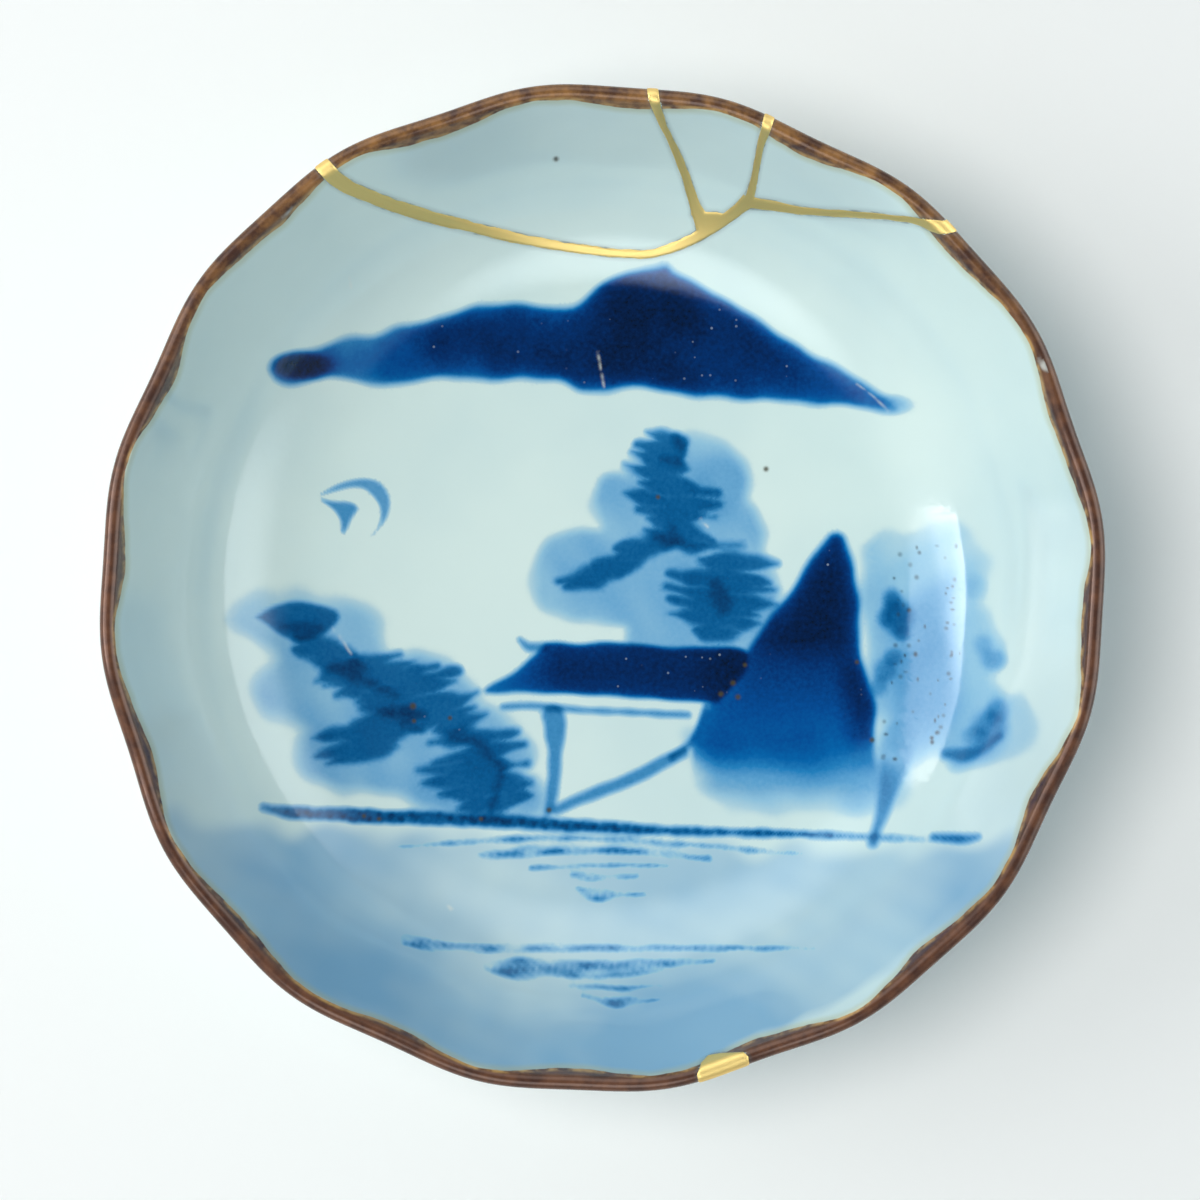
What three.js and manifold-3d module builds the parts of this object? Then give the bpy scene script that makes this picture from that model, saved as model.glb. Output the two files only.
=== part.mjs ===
// A shallow lobed porcelain bowl, broken at its far rim and mended with gold lacquer.
// Millimetres, +Z up. The foot ring stands on z = 0 and the origin is under the middle of the bowl.
// The front of the bowl faces -Y, so the broken part of the rim is at +Y.
import * as THREE from 'three';
import { mergeVertices } from 'three/addons/utils/BufferGeometryUtils.js';
import Module from 'manifold-3d';

const wasm = await Module();
wasm.setup();

// The bowl's main sizes
const rimDiameter = 150;
const bowlHeight = 42;
const floorRadius = 44;
const floorThickness = 4.4;
const lipThickness = 2.4;

// The curve of the wall: how far it stays level past the floor, how long it runs straight
// under the lip, and its slope there in degrees
const wallKnee = 16;
const wallReach = 16;
const lipSlope = 68;

// The foot ring: its outer diameter, its height, the width of the ground that it stands on,
// the worn edge on both sides of that, and how much wider each side is at the root
const footDiameter = 84;
const footHeight = 6;
const footLand = 2.4;
const footEdge = 0.5;
const footFlare = 0.8;

// The pressed lobes of the rim, every second one larger, and how far they stand up at the rim
const lobeCount = 16;
const lobeDepth = 0.37;
const lobeTurn = 8;
const pairDepth = 0.26;
const pairTurn = 41.8;
const lobeRise = 0.3;

// The warp that the kiln left in the rim: waves round it, with the bearing of a high point
const warps = [
  { waves: 2, depth: 0.19, turn: 59.9 },
  { waves: 3, depth: 0.33, turn: 114.5 },
  { waves: 4, depth: 0.26, turn: 40.8 },
];
const warpShift = { depth: 0.31, turn: 184.4 };

// How fine the faces are
const sectionsPerLobe = 7;
const wallSteps = 8;
const lipSteps = 4;
const seamStep = 2.6;
const ballSides = 24;
const shardArcSteps = 16;

// The mend: how far the gold stands proud of the glaze, and its gap to the porcelain
const goldProud = 0.15;
const mendClearance = 0.3;

// The cracks. Each point has its bearing in degrees, its distance in from the mean rim and the
// width of the gold there. They meet at two joints, and run out past the rim.
const pastRim = -4;
const leftJoint = [74.4, 17.1, 2.5];
const rightJoint = [69.4, 12.1, 1.7];
const mainCrack = [
  [123.5, pastRim, 2.4],
  [123.3, 1.2, 2.3],
  [122.2, 4, 1.95],
  [118.4, 9, 1.85],
  [110, 15.9, 1.65],
  [100, 20.8, 1.5],
  [90, 22.8, 1.6],
  [80.5, 22.1, 1.8],
  leftJoint,
  rightJoint,
];
const leftBranch = [
  leftJoint,
  [76.6, 14.3, 1.5],
  [79.3, 9.8, 1],
  [82.4, 5.1, 1.05],
  [84.2, 1.8, 1.9],
  [84.4, pastRim, 2.2],
];
const middleBranch = [rightJoint, [69.7, 9, 1], [70.3, 5.1, 1], [70.5, 2.3, 1.5], [70.6, pastRim, 1.9]];
const rightBranch = [
  rightJoint,
  [65.8, 11.1, 1.3],
  [61.2, 9.7, 1],
  [55.3, 6.5, 0.85],
  [49.4, 2.9, 0.9],
  [46.6, 1.1, 2.2],
  [45.6, pastRim, 2.8],
];

// The filled chip in the near rim: its middle's bearing, the hollow that it broke out of the lip,
// as a ball's half sizes along the rim, across it and down, and its outline seen from above, as
// distances along the rim from the middle and in from the mean rim
const chipBearing = 284.2;
const chipHollow = { along: 5, across: 6, down: 4.8 };
const chipOutline = [
  [-4.3, pastRim],
  [-4.1, 1.6],
  [-3.1, 3.1],
  [-1.8, 3.8],
  [0.1, 3.7],
  [3.4, 3.2],
  [3.9, 2.4],
  [3.4, pastRim],
];

const degrees = THREE.MathUtils.degToRad;
const rimRadius = rimDiameter / 2;
const floorLevel = footHeight + floorThickness;
const lipRadius = lipThickness / 2;
const lipCentre = new THREE.Vector2(rimRadius - lipRadius, bowlHeight - lobeRise - lipRadius);
const lipAlong = new THREE.Vector2(Math.cos(degrees(lipSlope)), Math.sin(degrees(lipSlope)));
const lipAcross = new THREE.Vector2(lipAlong.y, -lipAlong.x);

// The inside of the wall in section, from the floor's edge to the lip
const floorEdge = new THREE.Vector2(floorRadius, floorLevel);
const lipInside = lipCentre.clone().addScaledVector(lipAcross, -lipRadius);
const insideWall = new THREE.CubicBezierCurve(
  floorEdge,
  floorEdge.clone().add(new THREE.Vector2(wallKnee, 0)),
  lipInside.clone().addScaledVector(lipAlong, -wallReach),
  lipInside,
);

// The height of the rim's wave at a bearing in radians, from -1 in a notch to 1 on a lobe
function wave(bearing, waves, turn) {
  return Math.cos(waves * (bearing - degrees(turn)));
}

function rimOffset(bearing) {
  const lobes = lobeDepth * wave(bearing, lobeCount, lobeTurn);
  const pairs = pairDepth * wave(bearing, lobeCount / 2, pairTurn);
  const shift = warpShift.depth * wave(bearing, 1, warpShift.turn);
  const warp = warps.reduce((sum, w) => sum + w.depth * wave(bearing, w.waves, w.turn), 0);
  return lobes + pairs + shift + warp;
}

// The section of the bowl without its foot, from the axis out along the underside, up the outside,
// over the lip and down the inside to the axis again, moved outwards by grow
function section(grow) {
  const points = [];
  const put = (point, normal) => points.push(point.clone().addScaledVector(normal, grow));
  const up = new THREE.Vector2(0, 1);
  const down = new THREE.Vector2(0, -1);
  const steps = Array.from({ length: wallSteps + 1 }, (_, i) => i / wallSteps);
  put(new THREE.Vector2(0, footHeight), down);
  put(new THREE.Vector2(floorRadius / 2, footHeight), down);
  for (const t of steps) {
    const along = insideWall.getTangent(t);
    const out = new THREE.Vector2(along.y, -along.x);
    const thickness = THREE.MathUtils.lerp(floorThickness, lipThickness, t);
    put(insideWall.getPoint(t).addScaledVector(out, thickness), out);
  }
  for (let i = 1; i < lipSteps; i += 1) {
    const turn = (Math.PI * i) / lipSteps - Math.PI / 2;
    const out = lipAlong.clone().rotateAround(new THREE.Vector2(), turn);
    put(lipCentre.clone().addScaledVector(out, lipRadius), out);
  }
  for (const t of steps.toReversed()) {
    const along = insideWall.getTangent(t);
    put(insideWall.getPoint(t), new THREE.Vector2(-along.y, along.x));
  }
  put(new THREE.Vector2(floorRadius / 2, floorLevel), up);
  put(new THREE.Vector2(0, floorLevel), up);
  return points;
}

// The section of the foot ring, which reaches half way into the floor above it
function footSection() {
  const outer = footDiameter / 2;
  const inner = outer - footLand - 2 * footEdge;
  const root = footHeight + floorThickness / 2;
  return [
    new THREE.Vector2(inner + footEdge, 0),
    new THREE.Vector2(outer - footEdge, 0),
    new THREE.Vector2(outer, footEdge),
    new THREE.Vector2(outer + footFlare, root),
    new THREE.Vector2(inner - footFlare, root),
    new THREE.Vector2(inner, footEdge),
    new THREE.Vector2(inner + footEdge, 0),
  ];
}

// A section turned about the upright axis through the origin
function turned(points, sections) {
  return new THREE.LatheGeometry(points, sections).rotateX(Math.PI / 2);
}

// The lobes and the warp, full at the lip and fading out down to the floor
function lobed(geometry) {
  const position = geometry.attributes.position;
  const point = new THREE.Vector3();
  for (let i = 0; i < position.count; i += 1) {
    point.fromBufferAttribute(position, i);
    const climb = (point.z - floorLevel) / (bowlHeight - floorLevel);
    const share = THREE.MathUtils.smoothstep(climb, 0, 1) * Math.sqrt(Math.max(climb, 0));
    const bearing = Math.atan2(point.y, point.x);
    const radius = Math.hypot(point.x, point.y);
    const stretch = radius > 0 ? 1 + (rimOffset(bearing) * share) / radius : 1;
    const rise = lobeRise * share * wave(bearing, lobeCount, lobeTurn);
    position.setXYZ(i, point.x * stretch, point.y * stretch, point.z + rise);
  }
  return geometry;
}

// A closed geometry as a solid that can be joined and cut
function solid(geometry) {
  geometry.deleteAttribute('normal');
  geometry.deleteAttribute('uv');
  const merged = mergeVertices(geometry);
  const index = merged.index.array;
  const corners = [];
  for (let i = 0; i < index.length; i += 3) {
    const [a, b, c] = index.slice(i, i + 3);
    if (a !== b && b !== c && c !== a) {
      corners.push(a, b, c);
    }
  }
  const vertProperties = new Float32Array(merged.attributes.position.array);
  const triVerts = new Uint32Array(corners);
  return new wasm.Manifold(new wasm.Mesh({ numProp: 3, vertProperties, triVerts }));
}

// An upright prism over a flat outline, from one height to another
function prism(outline, bottom, top) {
  const shape = new THREE.Shape(outline);
  const geometry = new THREE.ExtrudeGeometry(shape, { depth: top - bottom, bevelEnabled: false });
  return solid(geometry.translate(0, 0, bottom));
}

// A place on the bowl seen from above, from its bearing and its distance in from the mean rim
function place(bearing, inset) {
  const radius = rimRadius - inset;
  return new THREE.Vector2(radius * Math.cos(degrees(bearing)), radius * Math.sin(degrees(bearing)));
}

// Even stations along a crack, each with its place and the width of the gold there
function crackStations(crack) {
  const points = crack.map(([bearing, inset, width]) => {
    const at = place(bearing, inset);
    return new THREE.Vector3(at.x, at.y, width);
  });
  const curve = new THREE.CatmullRomCurve3(points, false, 'centripetal');
  return curve.getSpacedPoints(Math.ceil(curve.getLength() / seamStep));
}

// The outline of a crack's gold, widened by a margin on both sides
function crackOutline(crack, margin) {
  const stations = crackStations(crack);
  const left = [];
  const right = [];
  stations.forEach((station, i) => {
    const before = stations[Math.max(i - 1, 0)];
    const after = stations[Math.min(i + 1, stations.length - 1)];
    const side = new THREE.Vector2(before.y - after.y, after.x - before.x).normalize();
    const half = station.z / 2 + margin;
    const at = new THREE.Vector2(station.x, station.y);
    left.push(at.clone().addScaledVector(side, half));
    right.push(at.clone().addScaledVector(side, -half));
  });
  return right.concat(left.reverse());
}

// The outline of one shard seen from above: a line along the cracks that bound it, from the rim to
// the rim against the clock, closed round outside the rim
function shardOutline(line) {
  const outline = line.map(({ x, y }) => new THREE.Vector2(x, y));
  const start = outline[0].angle();
  const end = outline[outline.length - 1].angle();
  for (let i = 1; i < shardArcSteps; i += 1) {
    const bearing = THREE.MathUtils.lerp(end, start, i / shardArcSteps);
    const out = new THREE.Vector2(Math.cos(bearing), Math.sin(bearing));
    outline.push(out.multiplyScalar(rimRadius - pastRim));
  }
  return outline;
}

// The prisms that cut the bowl reach past it by this much
const reachPast = 1;
const under = -reachPast;
const over = bowlHeight + reachPast;

function crackPrisms(margin) {
  return cracks.map((crack) => prism(crackOutline(crack, margin), under, over));
}

function shardPrism(line) {
  return prism(shardOutline(line), under, over);
}

// The chip's fill is the part of its hollow inside its outline, widened by a margin all round
function chipShape(margin) {
  const middle = place(chipBearing, 0);
  const out = middle.clone().normalize();
  const along = new THREE.Vector2(-out.y, out.x);
  const outline = chipOutline.map(([aside, inset]) => {
    const wide = aside + Math.sign(aside) * margin;
    const deep = inset > 0 ? inset + margin : inset;
    return middle.clone().addScaledVector(along, wide).addScaledVector(out, -deep);
  });
  const ball = new THREE.SphereGeometry(1, ballSides, ballSides / 2).rotateX(Math.PI / 2);
  ball.scale(chipHollow.across + margin, chipHollow.along + margin, chipHollow.down + margin);
  ball.rotateZ(degrees(chipBearing));
  ball.translate(middle.x, middle.y, bowlHeight);
  return prism(outline, under, over).intersect(solid(ball));
}

const cracks = [mainCrack, leftBranch, middleBranch, rightBranch];
const [mainLine, leftLine, middleLine, rightLine] = cracks.map(crackStations);
const joint = place(...leftJoint);
const jointGaps = mainLine.map((station) => Math.hypot(station.x - joint.x, station.y - joint.y));
const atJoint = jointGaps.indexOf(Math.min(...jointGaps));

const shards = {
  rim_shard_left: shardPrism([...mainLine.slice(0, atJoint + 1), ...leftLine]),
  rim_shard_middle: shardPrism([...leftLine.toReversed(), ...mainLine.slice(atJoint), ...middleLine]),
  rim_shard_right: shardPrism([...middleLine.toReversed(), ...rightLine]),
};

// The whole bowl, then its pieces
const bowlSections = lobeCount * sectionsPerLobe;
const foot = solid(turned(footSection(), bowlSections));
const wholeBowl = solid(lobed(turned(section(0), bowlSections))).add(foot);
const goldSkin = solid(lobed(turned(section(goldProud), bowlSections)));
const broken = crackPrisms(mendClearance).reduce((bowl, crack) => bowl.subtract(crack), wholeBowl);
const seam = crackPrisms(0).reduce((all, crack) => all.add(crack));

const porcelain = new THREE.MeshStandardMaterial({ color: '#cfe3e2', roughness: 0.12, metalness: 0 });
const gold = new THREE.MeshStandardMaterial({ color: '#d9b95c', roughness: 0.3, metalness: 0.9 });

const bowl = new THREE.Group();

function piece(name, shape, material) {
  const { vertProperties, triVerts } = shape.getMesh();
  const geometry = new THREE.BufferGeometry();
  geometry.setAttribute('position', new THREE.BufferAttribute(vertProperties, 3));
  geometry.setIndex(new THREE.BufferAttribute(triVerts, 1));
  geometry.computeVertexNormals();
  const mesh = new THREE.Mesh(geometry, material.clone());
  mesh.name = name;
  bowl.add(mesh);
}

const shardPrisms = Object.values(shards);
const largePiece = shardPrisms.reduce((rest, shard) => rest.subtract(shard), broken);
piece('bowl_body', largePiece.subtract(chipShape(mendClearance)), porcelain);
for (const [name, shard] of Object.entries(shards)) {
  piece(name, broken.intersect(shard), porcelain);
}
piece('gold_seam', goldSkin.intersect(seam), gold);
piece('gold_chip_fill', goldSkin.intersect(chipShape(0)), gold);

export default bowl;
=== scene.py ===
"""Dresses the mended porcelain bowl: its glaze and painting, its brown lip and the gold of its mend.

Everything is in metres round the frame's own origin. Sizes of the ware are written in millimetres,
and the painting's marks in pixels of the square picture that the camera frames."""
import math
from functools import partial
import bpy
import mathutils
import numpy as np
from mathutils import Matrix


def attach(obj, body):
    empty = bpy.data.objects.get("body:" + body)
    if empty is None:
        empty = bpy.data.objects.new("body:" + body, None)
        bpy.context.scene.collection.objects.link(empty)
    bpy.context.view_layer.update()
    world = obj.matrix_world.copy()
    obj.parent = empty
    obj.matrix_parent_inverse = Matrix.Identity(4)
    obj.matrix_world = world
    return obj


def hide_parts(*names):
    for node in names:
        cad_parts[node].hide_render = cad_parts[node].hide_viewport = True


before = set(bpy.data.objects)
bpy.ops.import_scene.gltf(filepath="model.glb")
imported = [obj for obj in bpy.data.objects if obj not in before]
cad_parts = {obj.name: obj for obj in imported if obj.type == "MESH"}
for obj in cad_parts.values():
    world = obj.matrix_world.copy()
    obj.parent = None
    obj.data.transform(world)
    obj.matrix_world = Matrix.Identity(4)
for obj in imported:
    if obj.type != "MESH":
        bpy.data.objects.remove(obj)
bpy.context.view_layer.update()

bl_info = {
    "name": "Mended Porcelain Bowl",
    "version": (1, 0, 0),
    "blender": (4, 5, 0),
    "location": "3D View > Sidebar > Bowl",
    "description": "A lobed blue and white bowl with its rim mended in gold",
    "category": "Object",
}

MM = 0.001

# The view from straight above: the picture's size in pixels, the pixel that looks down on the
# bowl's axis, and the size of a pixel in mm at the height of the rim
PICTURE = 1200
AXIS_PIXEL = (602.6, 588.8)
PIXEL_MM = 0.14833

# The mean radius of the rim and the height of its top, in mm
RIM = 75.0
HEIGHT = 42.0

# How far down and up the upright blocks reach that cut the ware, and how much further those go
# that hold the shards, so that no two ends lie in one plane
BLOCK_LOW, BLOCK_HIGH = -2, 46
BLOCK_MORE = 1

# Spacing in mm of the stations along a crack
CRACK_STEP = 0.5

# What the kiln and the mould gave the rim, as (waves round it, depth in mm, bearing of a crest)
RIM_WAVES = {
    "Lobes": (16, 0.37, 8.0),
    "Pairs": (8, 0.26, 41.8),
    "Square warp": (4, 0.26, 40.8),
    "Three way warp": (3, 0.33, 114.5),
    "Oval warp": (2, 0.19, 59.9),
    "Shift": (1, 0.31, 184.4),
}

# The cracks, as (bearing in degrees, distance in from the mean rim, width of the gold) in mm
PAST_RIM = -4.0
LEFT_JOINT = (74.4, 17.1, 2.5)
RIGHT_JOINT = (69.4, 12.1, 1.7)
MAIN_CRACK = [
    (123.5, PAST_RIM, 2.4), (123.3, 1.2, 2.3), (122.2, 4.0, 1.95), (118.4, 9.0, 1.85), (110.0, 15.9, 1.6),
    (100.0, 20.8, 1.45), (90.9, 22.8, 1.37), (86.3, 23.1, 1.27), (81.5, 22.6, 1.25), (77.0, 20.4, 1.5),
    (74.6, 18.4, 1.5), RIGHT_JOINT,
]
LEFT_BRANCH = [
    LEFT_JOINT, (76.6, 14.3, 1.5), (79.3, 9.8, 1.2), (82.4, 5.1, 1.0), (84.0, 1.9, 1.5),
    (84.4, PAST_RIM, 2.2),
]
MIDDLE_BRANCH = [RIGHT_JOINT, (69.7, 9.0, 1.0), (70.3, 5.1, 1.0), (70.5, 2.3, 1.5), (70.6, PAST_RIM, 1.9)]
RIGHT_BRANCH = [
    RIGHT_JOINT, (65.8, 11.1, 1.3), (61.2, 9.7, 1.0), (55.3, 6.5, 0.85), (49.4, 2.9, 0.9),
    (46.6, 1.1, 2.2), (45.6, PAST_RIM, 2.8),
]
CRACKS = [MAIN_CRACK, LEFT_BRANCH, MIDDLE_BRANCH, RIGHT_BRANCH]

# The web of gold between the two joints, as mm right of and behind the left one
WEB = [
    (-1.1, 3.2), (0.0, 2.05), (2.0, 1.95), (3.4, 1.6), (4.4, 2.7), (5.9, 4.3), (6.9, 3.4), (5.7, 1.55),
    (3.5, 0.1), (1.7, -1.0), (-0.2, -2.0), (-2.0, -2.9), (-3.2, -2.4), (-0.6, -0.5), (-0.6, 0.0),
    (-2.0, 1.7), (-2.0, 3.2),
]

# The filled chip: its bearing, the half sizes in mm of the hollow that broke out, and its outline
# as (distance along the rim, distance in from the mean rim)
CHIP_BEARING = 284.2
CHIP_HOLLOW = (6.0, 5.0, 4.8)
CHIP_OUTLINE = [
    (-4.3, PAST_RIM), (-4.1, 1.6), (-3.1, 3.1), (-1.8, 3.8), (0.1, 3.7), (3.4, 3.2), (3.9, 2.4),
    (3.4, PAST_RIM),
]


def linear(code):
    """An sRGB hex colour as linear red, green, blue and alpha."""
    parts = [int(code[i : i + 2], 16) / 255 for i in (1, 3, 5)]
    return [c / 12.92 if c <= 0.04045 else ((c + 0.055) / 1.055) ** 2.4 for c in parts] + [1.0]


def number(name, description, default, **limits):
    return bpy.props.FloatProperty(name=name, description=description, default=default, **limits)


def size(name, description, default_mm):
    return number(name, description, default_mm * MM, unit="LENGTH", subtype="DISTANCE", precision=5)


def colour(name, description, code):
    return bpy.props.FloatVectorProperty(
        name=name, description=description, default=linear(code), subtype="COLOR", size=4, min=0, max=1
    )


class BowlForm(bpy.types.PropertyGroup):
    rim_diameter: size("Rim diameter", "Mean diameter over the lip", 2 * RIM)
    height: size("Height", "From the ground to the top of the lip", HEIGHT)
    floor_radius: size("Floor radius", "How far out the floor is level", 44)
    floor_thickness: size("Floor thickness", "Thickness of the floor", 4.4)
    lip_thickness: size("Lip thickness", "Thickness of the rounded lip", 2.4)
    wall_knee: size("Wall knee", "How far the wall stays low past the floor", 16)
    wall_reach: size("Wall reach", "How far the wall runs straight under the lip", 16)
    lip_slope: number("Lip slope", "Slope of the wall at the lip", math.radians(68), subtype="ANGLE")
    foot_diameter: size("Foot diameter", "Outer diameter of the foot ring", 84)
    foot_height: size("Foot height", "Height of the foot ring", 6)
    foot_land: size("Foot land", "Width of the ground that the foot stands on", 2.4)
    foot_edge: size("Foot edge", "Rounding on both sides of the foot's ground", 0.5)
    foot_flare: size("Foot flare", "How much wider each side of the foot is at its root", 0.8)
    lobe_rise: size("Lobe rise", "How far the lobes stand up at the lip", 0.3)
    lip_ease: size("Lip ease", "How far the round lip stays inside the many-sided one of the frame", 0.1)


class GlazeColours(bpy.types.PropertyGroup):
    glaze: colour("Glaze", "Pale celadon tint of the bare glaze", "#d8ebe9")
    pooled: colour("Pooled glaze", "Glaze where it runs thick and cools", "#cde3e4")
    water: colour("Water wash", "Thin grey cobalt of the water", "#86b4d3")
    halo: colour("Halo", "Yellow-green glaze beside the brown lip", "#b9bc8f")
    iron: colour("Iron brown", "Brown of the dressed lip", "#6e4a37")
    iron_dark: colour("Iron black", "Darkest brown of the lip", "#46302a")
    # Painted light: the far rim's brown is painted lighter and warmer, standing in for the light on the flat
    # top of the far lip
    iron_far_lit: colour("Far lit iron", "Warmer brown of the far rim, where the dressing is thin", "#9a6f42")
    rust: colour("Rust", "Tan line where the brown runs thin", "#b8925a")
    biscuit: colour("Biscuit", "Bare clay of the foot's ground", "#d9cdbb")
    wave: size("Glaze wave", "Length of the slow waves in the glaze", 7)


class MendForm(bpy.types.PropertyGroup):
    proud: size("Proud", "How far the gold stands over the glaze", 0.15)
    overlap: size("Overlap", "How far the gold laps over the porcelain's edge", 0.2)
    wobble: size("Wobble", "How far the brushed edge strays", 0.08)
    gold: colour("Gold", "Gold powder, burnished", "#f7d588")
    roughness: number("Roughness", "Dullness of the burnished gold", 0.5, subtype="FACTOR", min=0, max=1)


class StageForm(bpy.types.PropertyGroup):
    floor: colour("Floor", "Pale seamless floor", "#f3f5f6")
    lens: number("Lens", "Focal length", 150, unit="CAMERA")
    sensor: number("Sensor", "Width of the film", 36, unit="CAMERA")
    top: number("High light", "Power of the light high up", 9.0, unit="POWER")
    side: number("Side light", "Power of the light at the side", 3.9, unit="POWER")
    fill: number("Sky", "Strength of the light all round", 0.6, min=0)
    window: number("Window", "Glow of the mirrored window", 3.2, min=0)
    cards: number("Cards", "Glow of the mirrored cards", 1.0, min=0)


def direction(bearing):
    """A level direction from its bearing in degrees."""
    return np.array([math.cos(math.radians(bearing)), math.sin(math.radians(bearing))])


def bezier(a, b, c, d, t):
    """Places at t along a cubic curve, and its directions there."""
    t = np.asarray(t)[:, None]
    place = (1 - t) ** 3 * a + 3 * (1 - t) ** 2 * t * b + 3 * (1 - t) * t**2 * c + t**3 * d
    along = (1 - t) ** 2 * (b - a) + 2 * (1 - t) * t * (c - b) + t**2 * (d - c)
    return place, along / np.linalg.norm(along, axis=1)[:, None]


def arc(x, z, radius, start, end, steps=9):
    """Part of a circle in the section, its angles in degrees."""
    turn = np.radians(np.linspace(start, end, steps))
    return np.stack([x + radius * np.cos(turn), z + radius * np.sin(turn)], 1)


class Section:
    """The bowl in section, in mm: from the axis out along the underside, round the foot, up the
    outside, over the lip and down the inside to the axis, with the run along it."""

    def __init__(self, form):
        self.rim = form.rim_diameter / MM / 2 - form.lip_ease / MM
        self.height = form.height / MM - form.lip_ease / MM
        self.rise = form.lobe_rise / MM
        self.floor = (form.foot_height + form.floor_thickness) / MM
        line = np.concatenate([self.foot_line(form), self.wall_line(form), [[0, self.floor]]])
        gaps = np.linalg.norm(np.diff(line, axis=0), axis=1)
        self.run = np.concatenate([[0], np.cumsum(gaps)])
        self.line = line
        self.crest = self.run[np.argmax(line[:, 1])]

    @staticmethod
    def foot_line(form):
        """The underside and the foot ring, with a round root where they meet."""
        outer = form.foot_diameter / MM / 2
        edge = form.foot_edge / MM
        inner = outer - form.foot_land / MM - 2 * edge
        flare = form.foot_flare / MM
        root = flare + edge
        base = form.foot_height / MM
        return np.concatenate([
            [[0, base]],
            arc(inner - flare - root, base - root, root, 90, 0),
            arc(inner + edge, edge, edge, 180, 270),
            arc(outer - edge, edge, edge, 270, 360),
            arc(outer + flare + root, base - root / 2, root, 180, 100),
        ])

    def wall_line(self, form):
        """The outside of the wall, the round lip and the inside down to the floor's edge."""
        thick = form.floor_thickness / MM
        thin = form.lip_thickness / MM
        along = direction(math.degrees(form.lip_slope))
        across = np.array([along[1], -along[0]])
        centre = np.array([self.rim - thin / 2, self.height - self.rise - thin / 2])
        edge = np.array([form.floor_radius / MM, self.floor])
        top = centre - across * thin / 2
        knee = edge + [form.wall_knee / MM, 0]
        t = np.linspace(0, 1, 300)
        inside, way = bezier(edge, knee, top - along * form.wall_reach / MM, top, t)
        out = np.stack([way[:, 1], -way[:, 0]], 1)
        outside = inside + out * (thick + (thin - thick) * t[:, None])
        slope = math.degrees(form.lip_slope)
        lip = arc(*centre, thin / 2, slope - 90, slope + 90, 60)
        return np.concatenate([outside, lip[1:-1], inside[::-1]])

    def at(self, run):
        """Radius and height at a run along the section."""
        return np.interp(run, self.run, self.line[:, 0]), np.interp(run, self.run, self.line[:, 1])


def split_long_edges(points, run, faces, section, target):
    """One pass that halves every edge longer than its target, and splits the faces to fit."""
    sides = np.stack([faces, np.roll(faces, -1, axis=1)], 2)
    keys = sides.min(2).astype(np.int64) * len(points) + sides.max(2)
    unique, back = np.unique(keys, return_inverse=True)
    back = back.reshape(keys.shape)
    a, b = unique // len(points), unique % len(points)
    length = np.linalg.norm(points[a] - points[b], axis=1)
    middle_run = (run[a] + run[b]) / 2
    middle = (points[a] + points[b]) / 2
    marked = length > target(middle, middle_run)
    longest = back[np.arange(len(faces)), length[back].argmax(1)]
    for _ in range(6):
        touched = marked[back].any(1)
        if marked[longest[touched]].all():
            break
        marked[longest[touched]] = True
    if not marked.any():
        return points, run, faces, False
    radius, height = section.at(middle_run[marked])
    bearing = np.arctan2(middle[marked, 1], middle[marked, 0])
    fresh = np.stack([radius * np.cos(bearing), radius * np.sin(bearing), height], 1)
    number = np.full(len(unique), -1)
    number[marked] = len(points) + np.arange(marked.sum())
    cut = number[back]
    count = (cut >= 0).sum(1)
    first = np.select([count == 1, count == 2], [(cut >= 0).argmax(1), (cut < 0).argmax(1) + 1], 0)
    order = (first[:, None] + np.arange(3)) % 3
    f, m = np.take_along_axis(faces, order, 1), np.take_along_axis(cut, order, 1)
    one, two, three = count == 1, count == 2, count == 3
    patterns = [
        (count == 0, [(f, 0), (f, 1), (f, 2)]),
        (one, [(f, 0), (m, 0), (f, 2)]),
        (one, [(m, 0), (f, 1), (f, 2)]),
        (two, [(m, 0), (f, 1), (m, 1)]),
        (two, [(f, 0), (m, 0), (m, 1)]),
        (two, [(f, 0), (m, 1), (f, 2)]),
        (three, [(f, 0), (m, 0), (m, 2)]),
        (three, [(m, 0), (f, 1), (m, 1)]),
        (three, [(m, 2), (m, 1), (f, 2)]),
        (three, [(m, 0), (m, 1), (m, 2)]),
    ]
    made = [np.stack([source[rows, column] for source, column in corners], 1) for rows, corners in patterns]
    points, run = np.concatenate([points, fresh]), np.concatenate([run, middle_run[marked]])
    return points, run, np.concatenate(made), True


def turned_body(section, target, bearings=96, spacing=3.0, passes=9):
    """The closed body that the section sweeps round the axis, its faces as fine as the target asks."""
    total = section.run[-1]
    levels = np.linspace(0, total, int(total / spacing))[1:-1]
    turn = np.arange(bearings) * 2 * math.pi / bearings
    radius, height = section.at(levels)
    ring = np.stack([np.outer(radius, np.cos(turn)), np.outer(radius, np.sin(turn))], 2).reshape(-1, 2)
    body = np.column_stack([ring, np.repeat(height, bearings)])
    under, over = (section.at(end)[1] for end in (0, total))
    points = np.concatenate([body, [[0, 0, under], [0, 0, over]]])
    run = np.concatenate([np.repeat(levels, bearings), [0, total]])
    grid = np.arange(len(body)).reshape(len(levels), bearings)
    after = np.roll(grid, -1, axis=1)
    low, high, low_next, high_next = grid[:-1], grid[1:], after[:-1], after[1:]
    faces = [
        np.stack([low, low_next, high_next], 2).reshape(-1, 3),
        np.stack([low, high_next, high], 2).reshape(-1, 3),
        np.column_stack([after[0], grid[0], np.full(bearings, len(body))]),
        np.column_stack([grid[-1], after[-1], np.full(bearings, len(body) + 1)]),
    ]
    faces = np.concatenate(faces)
    for _ in range(passes):
        points, run, faces, more = split_long_edges(points, run, faces, section, target)
        if not more:
            break
    return points, run, faces


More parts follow.
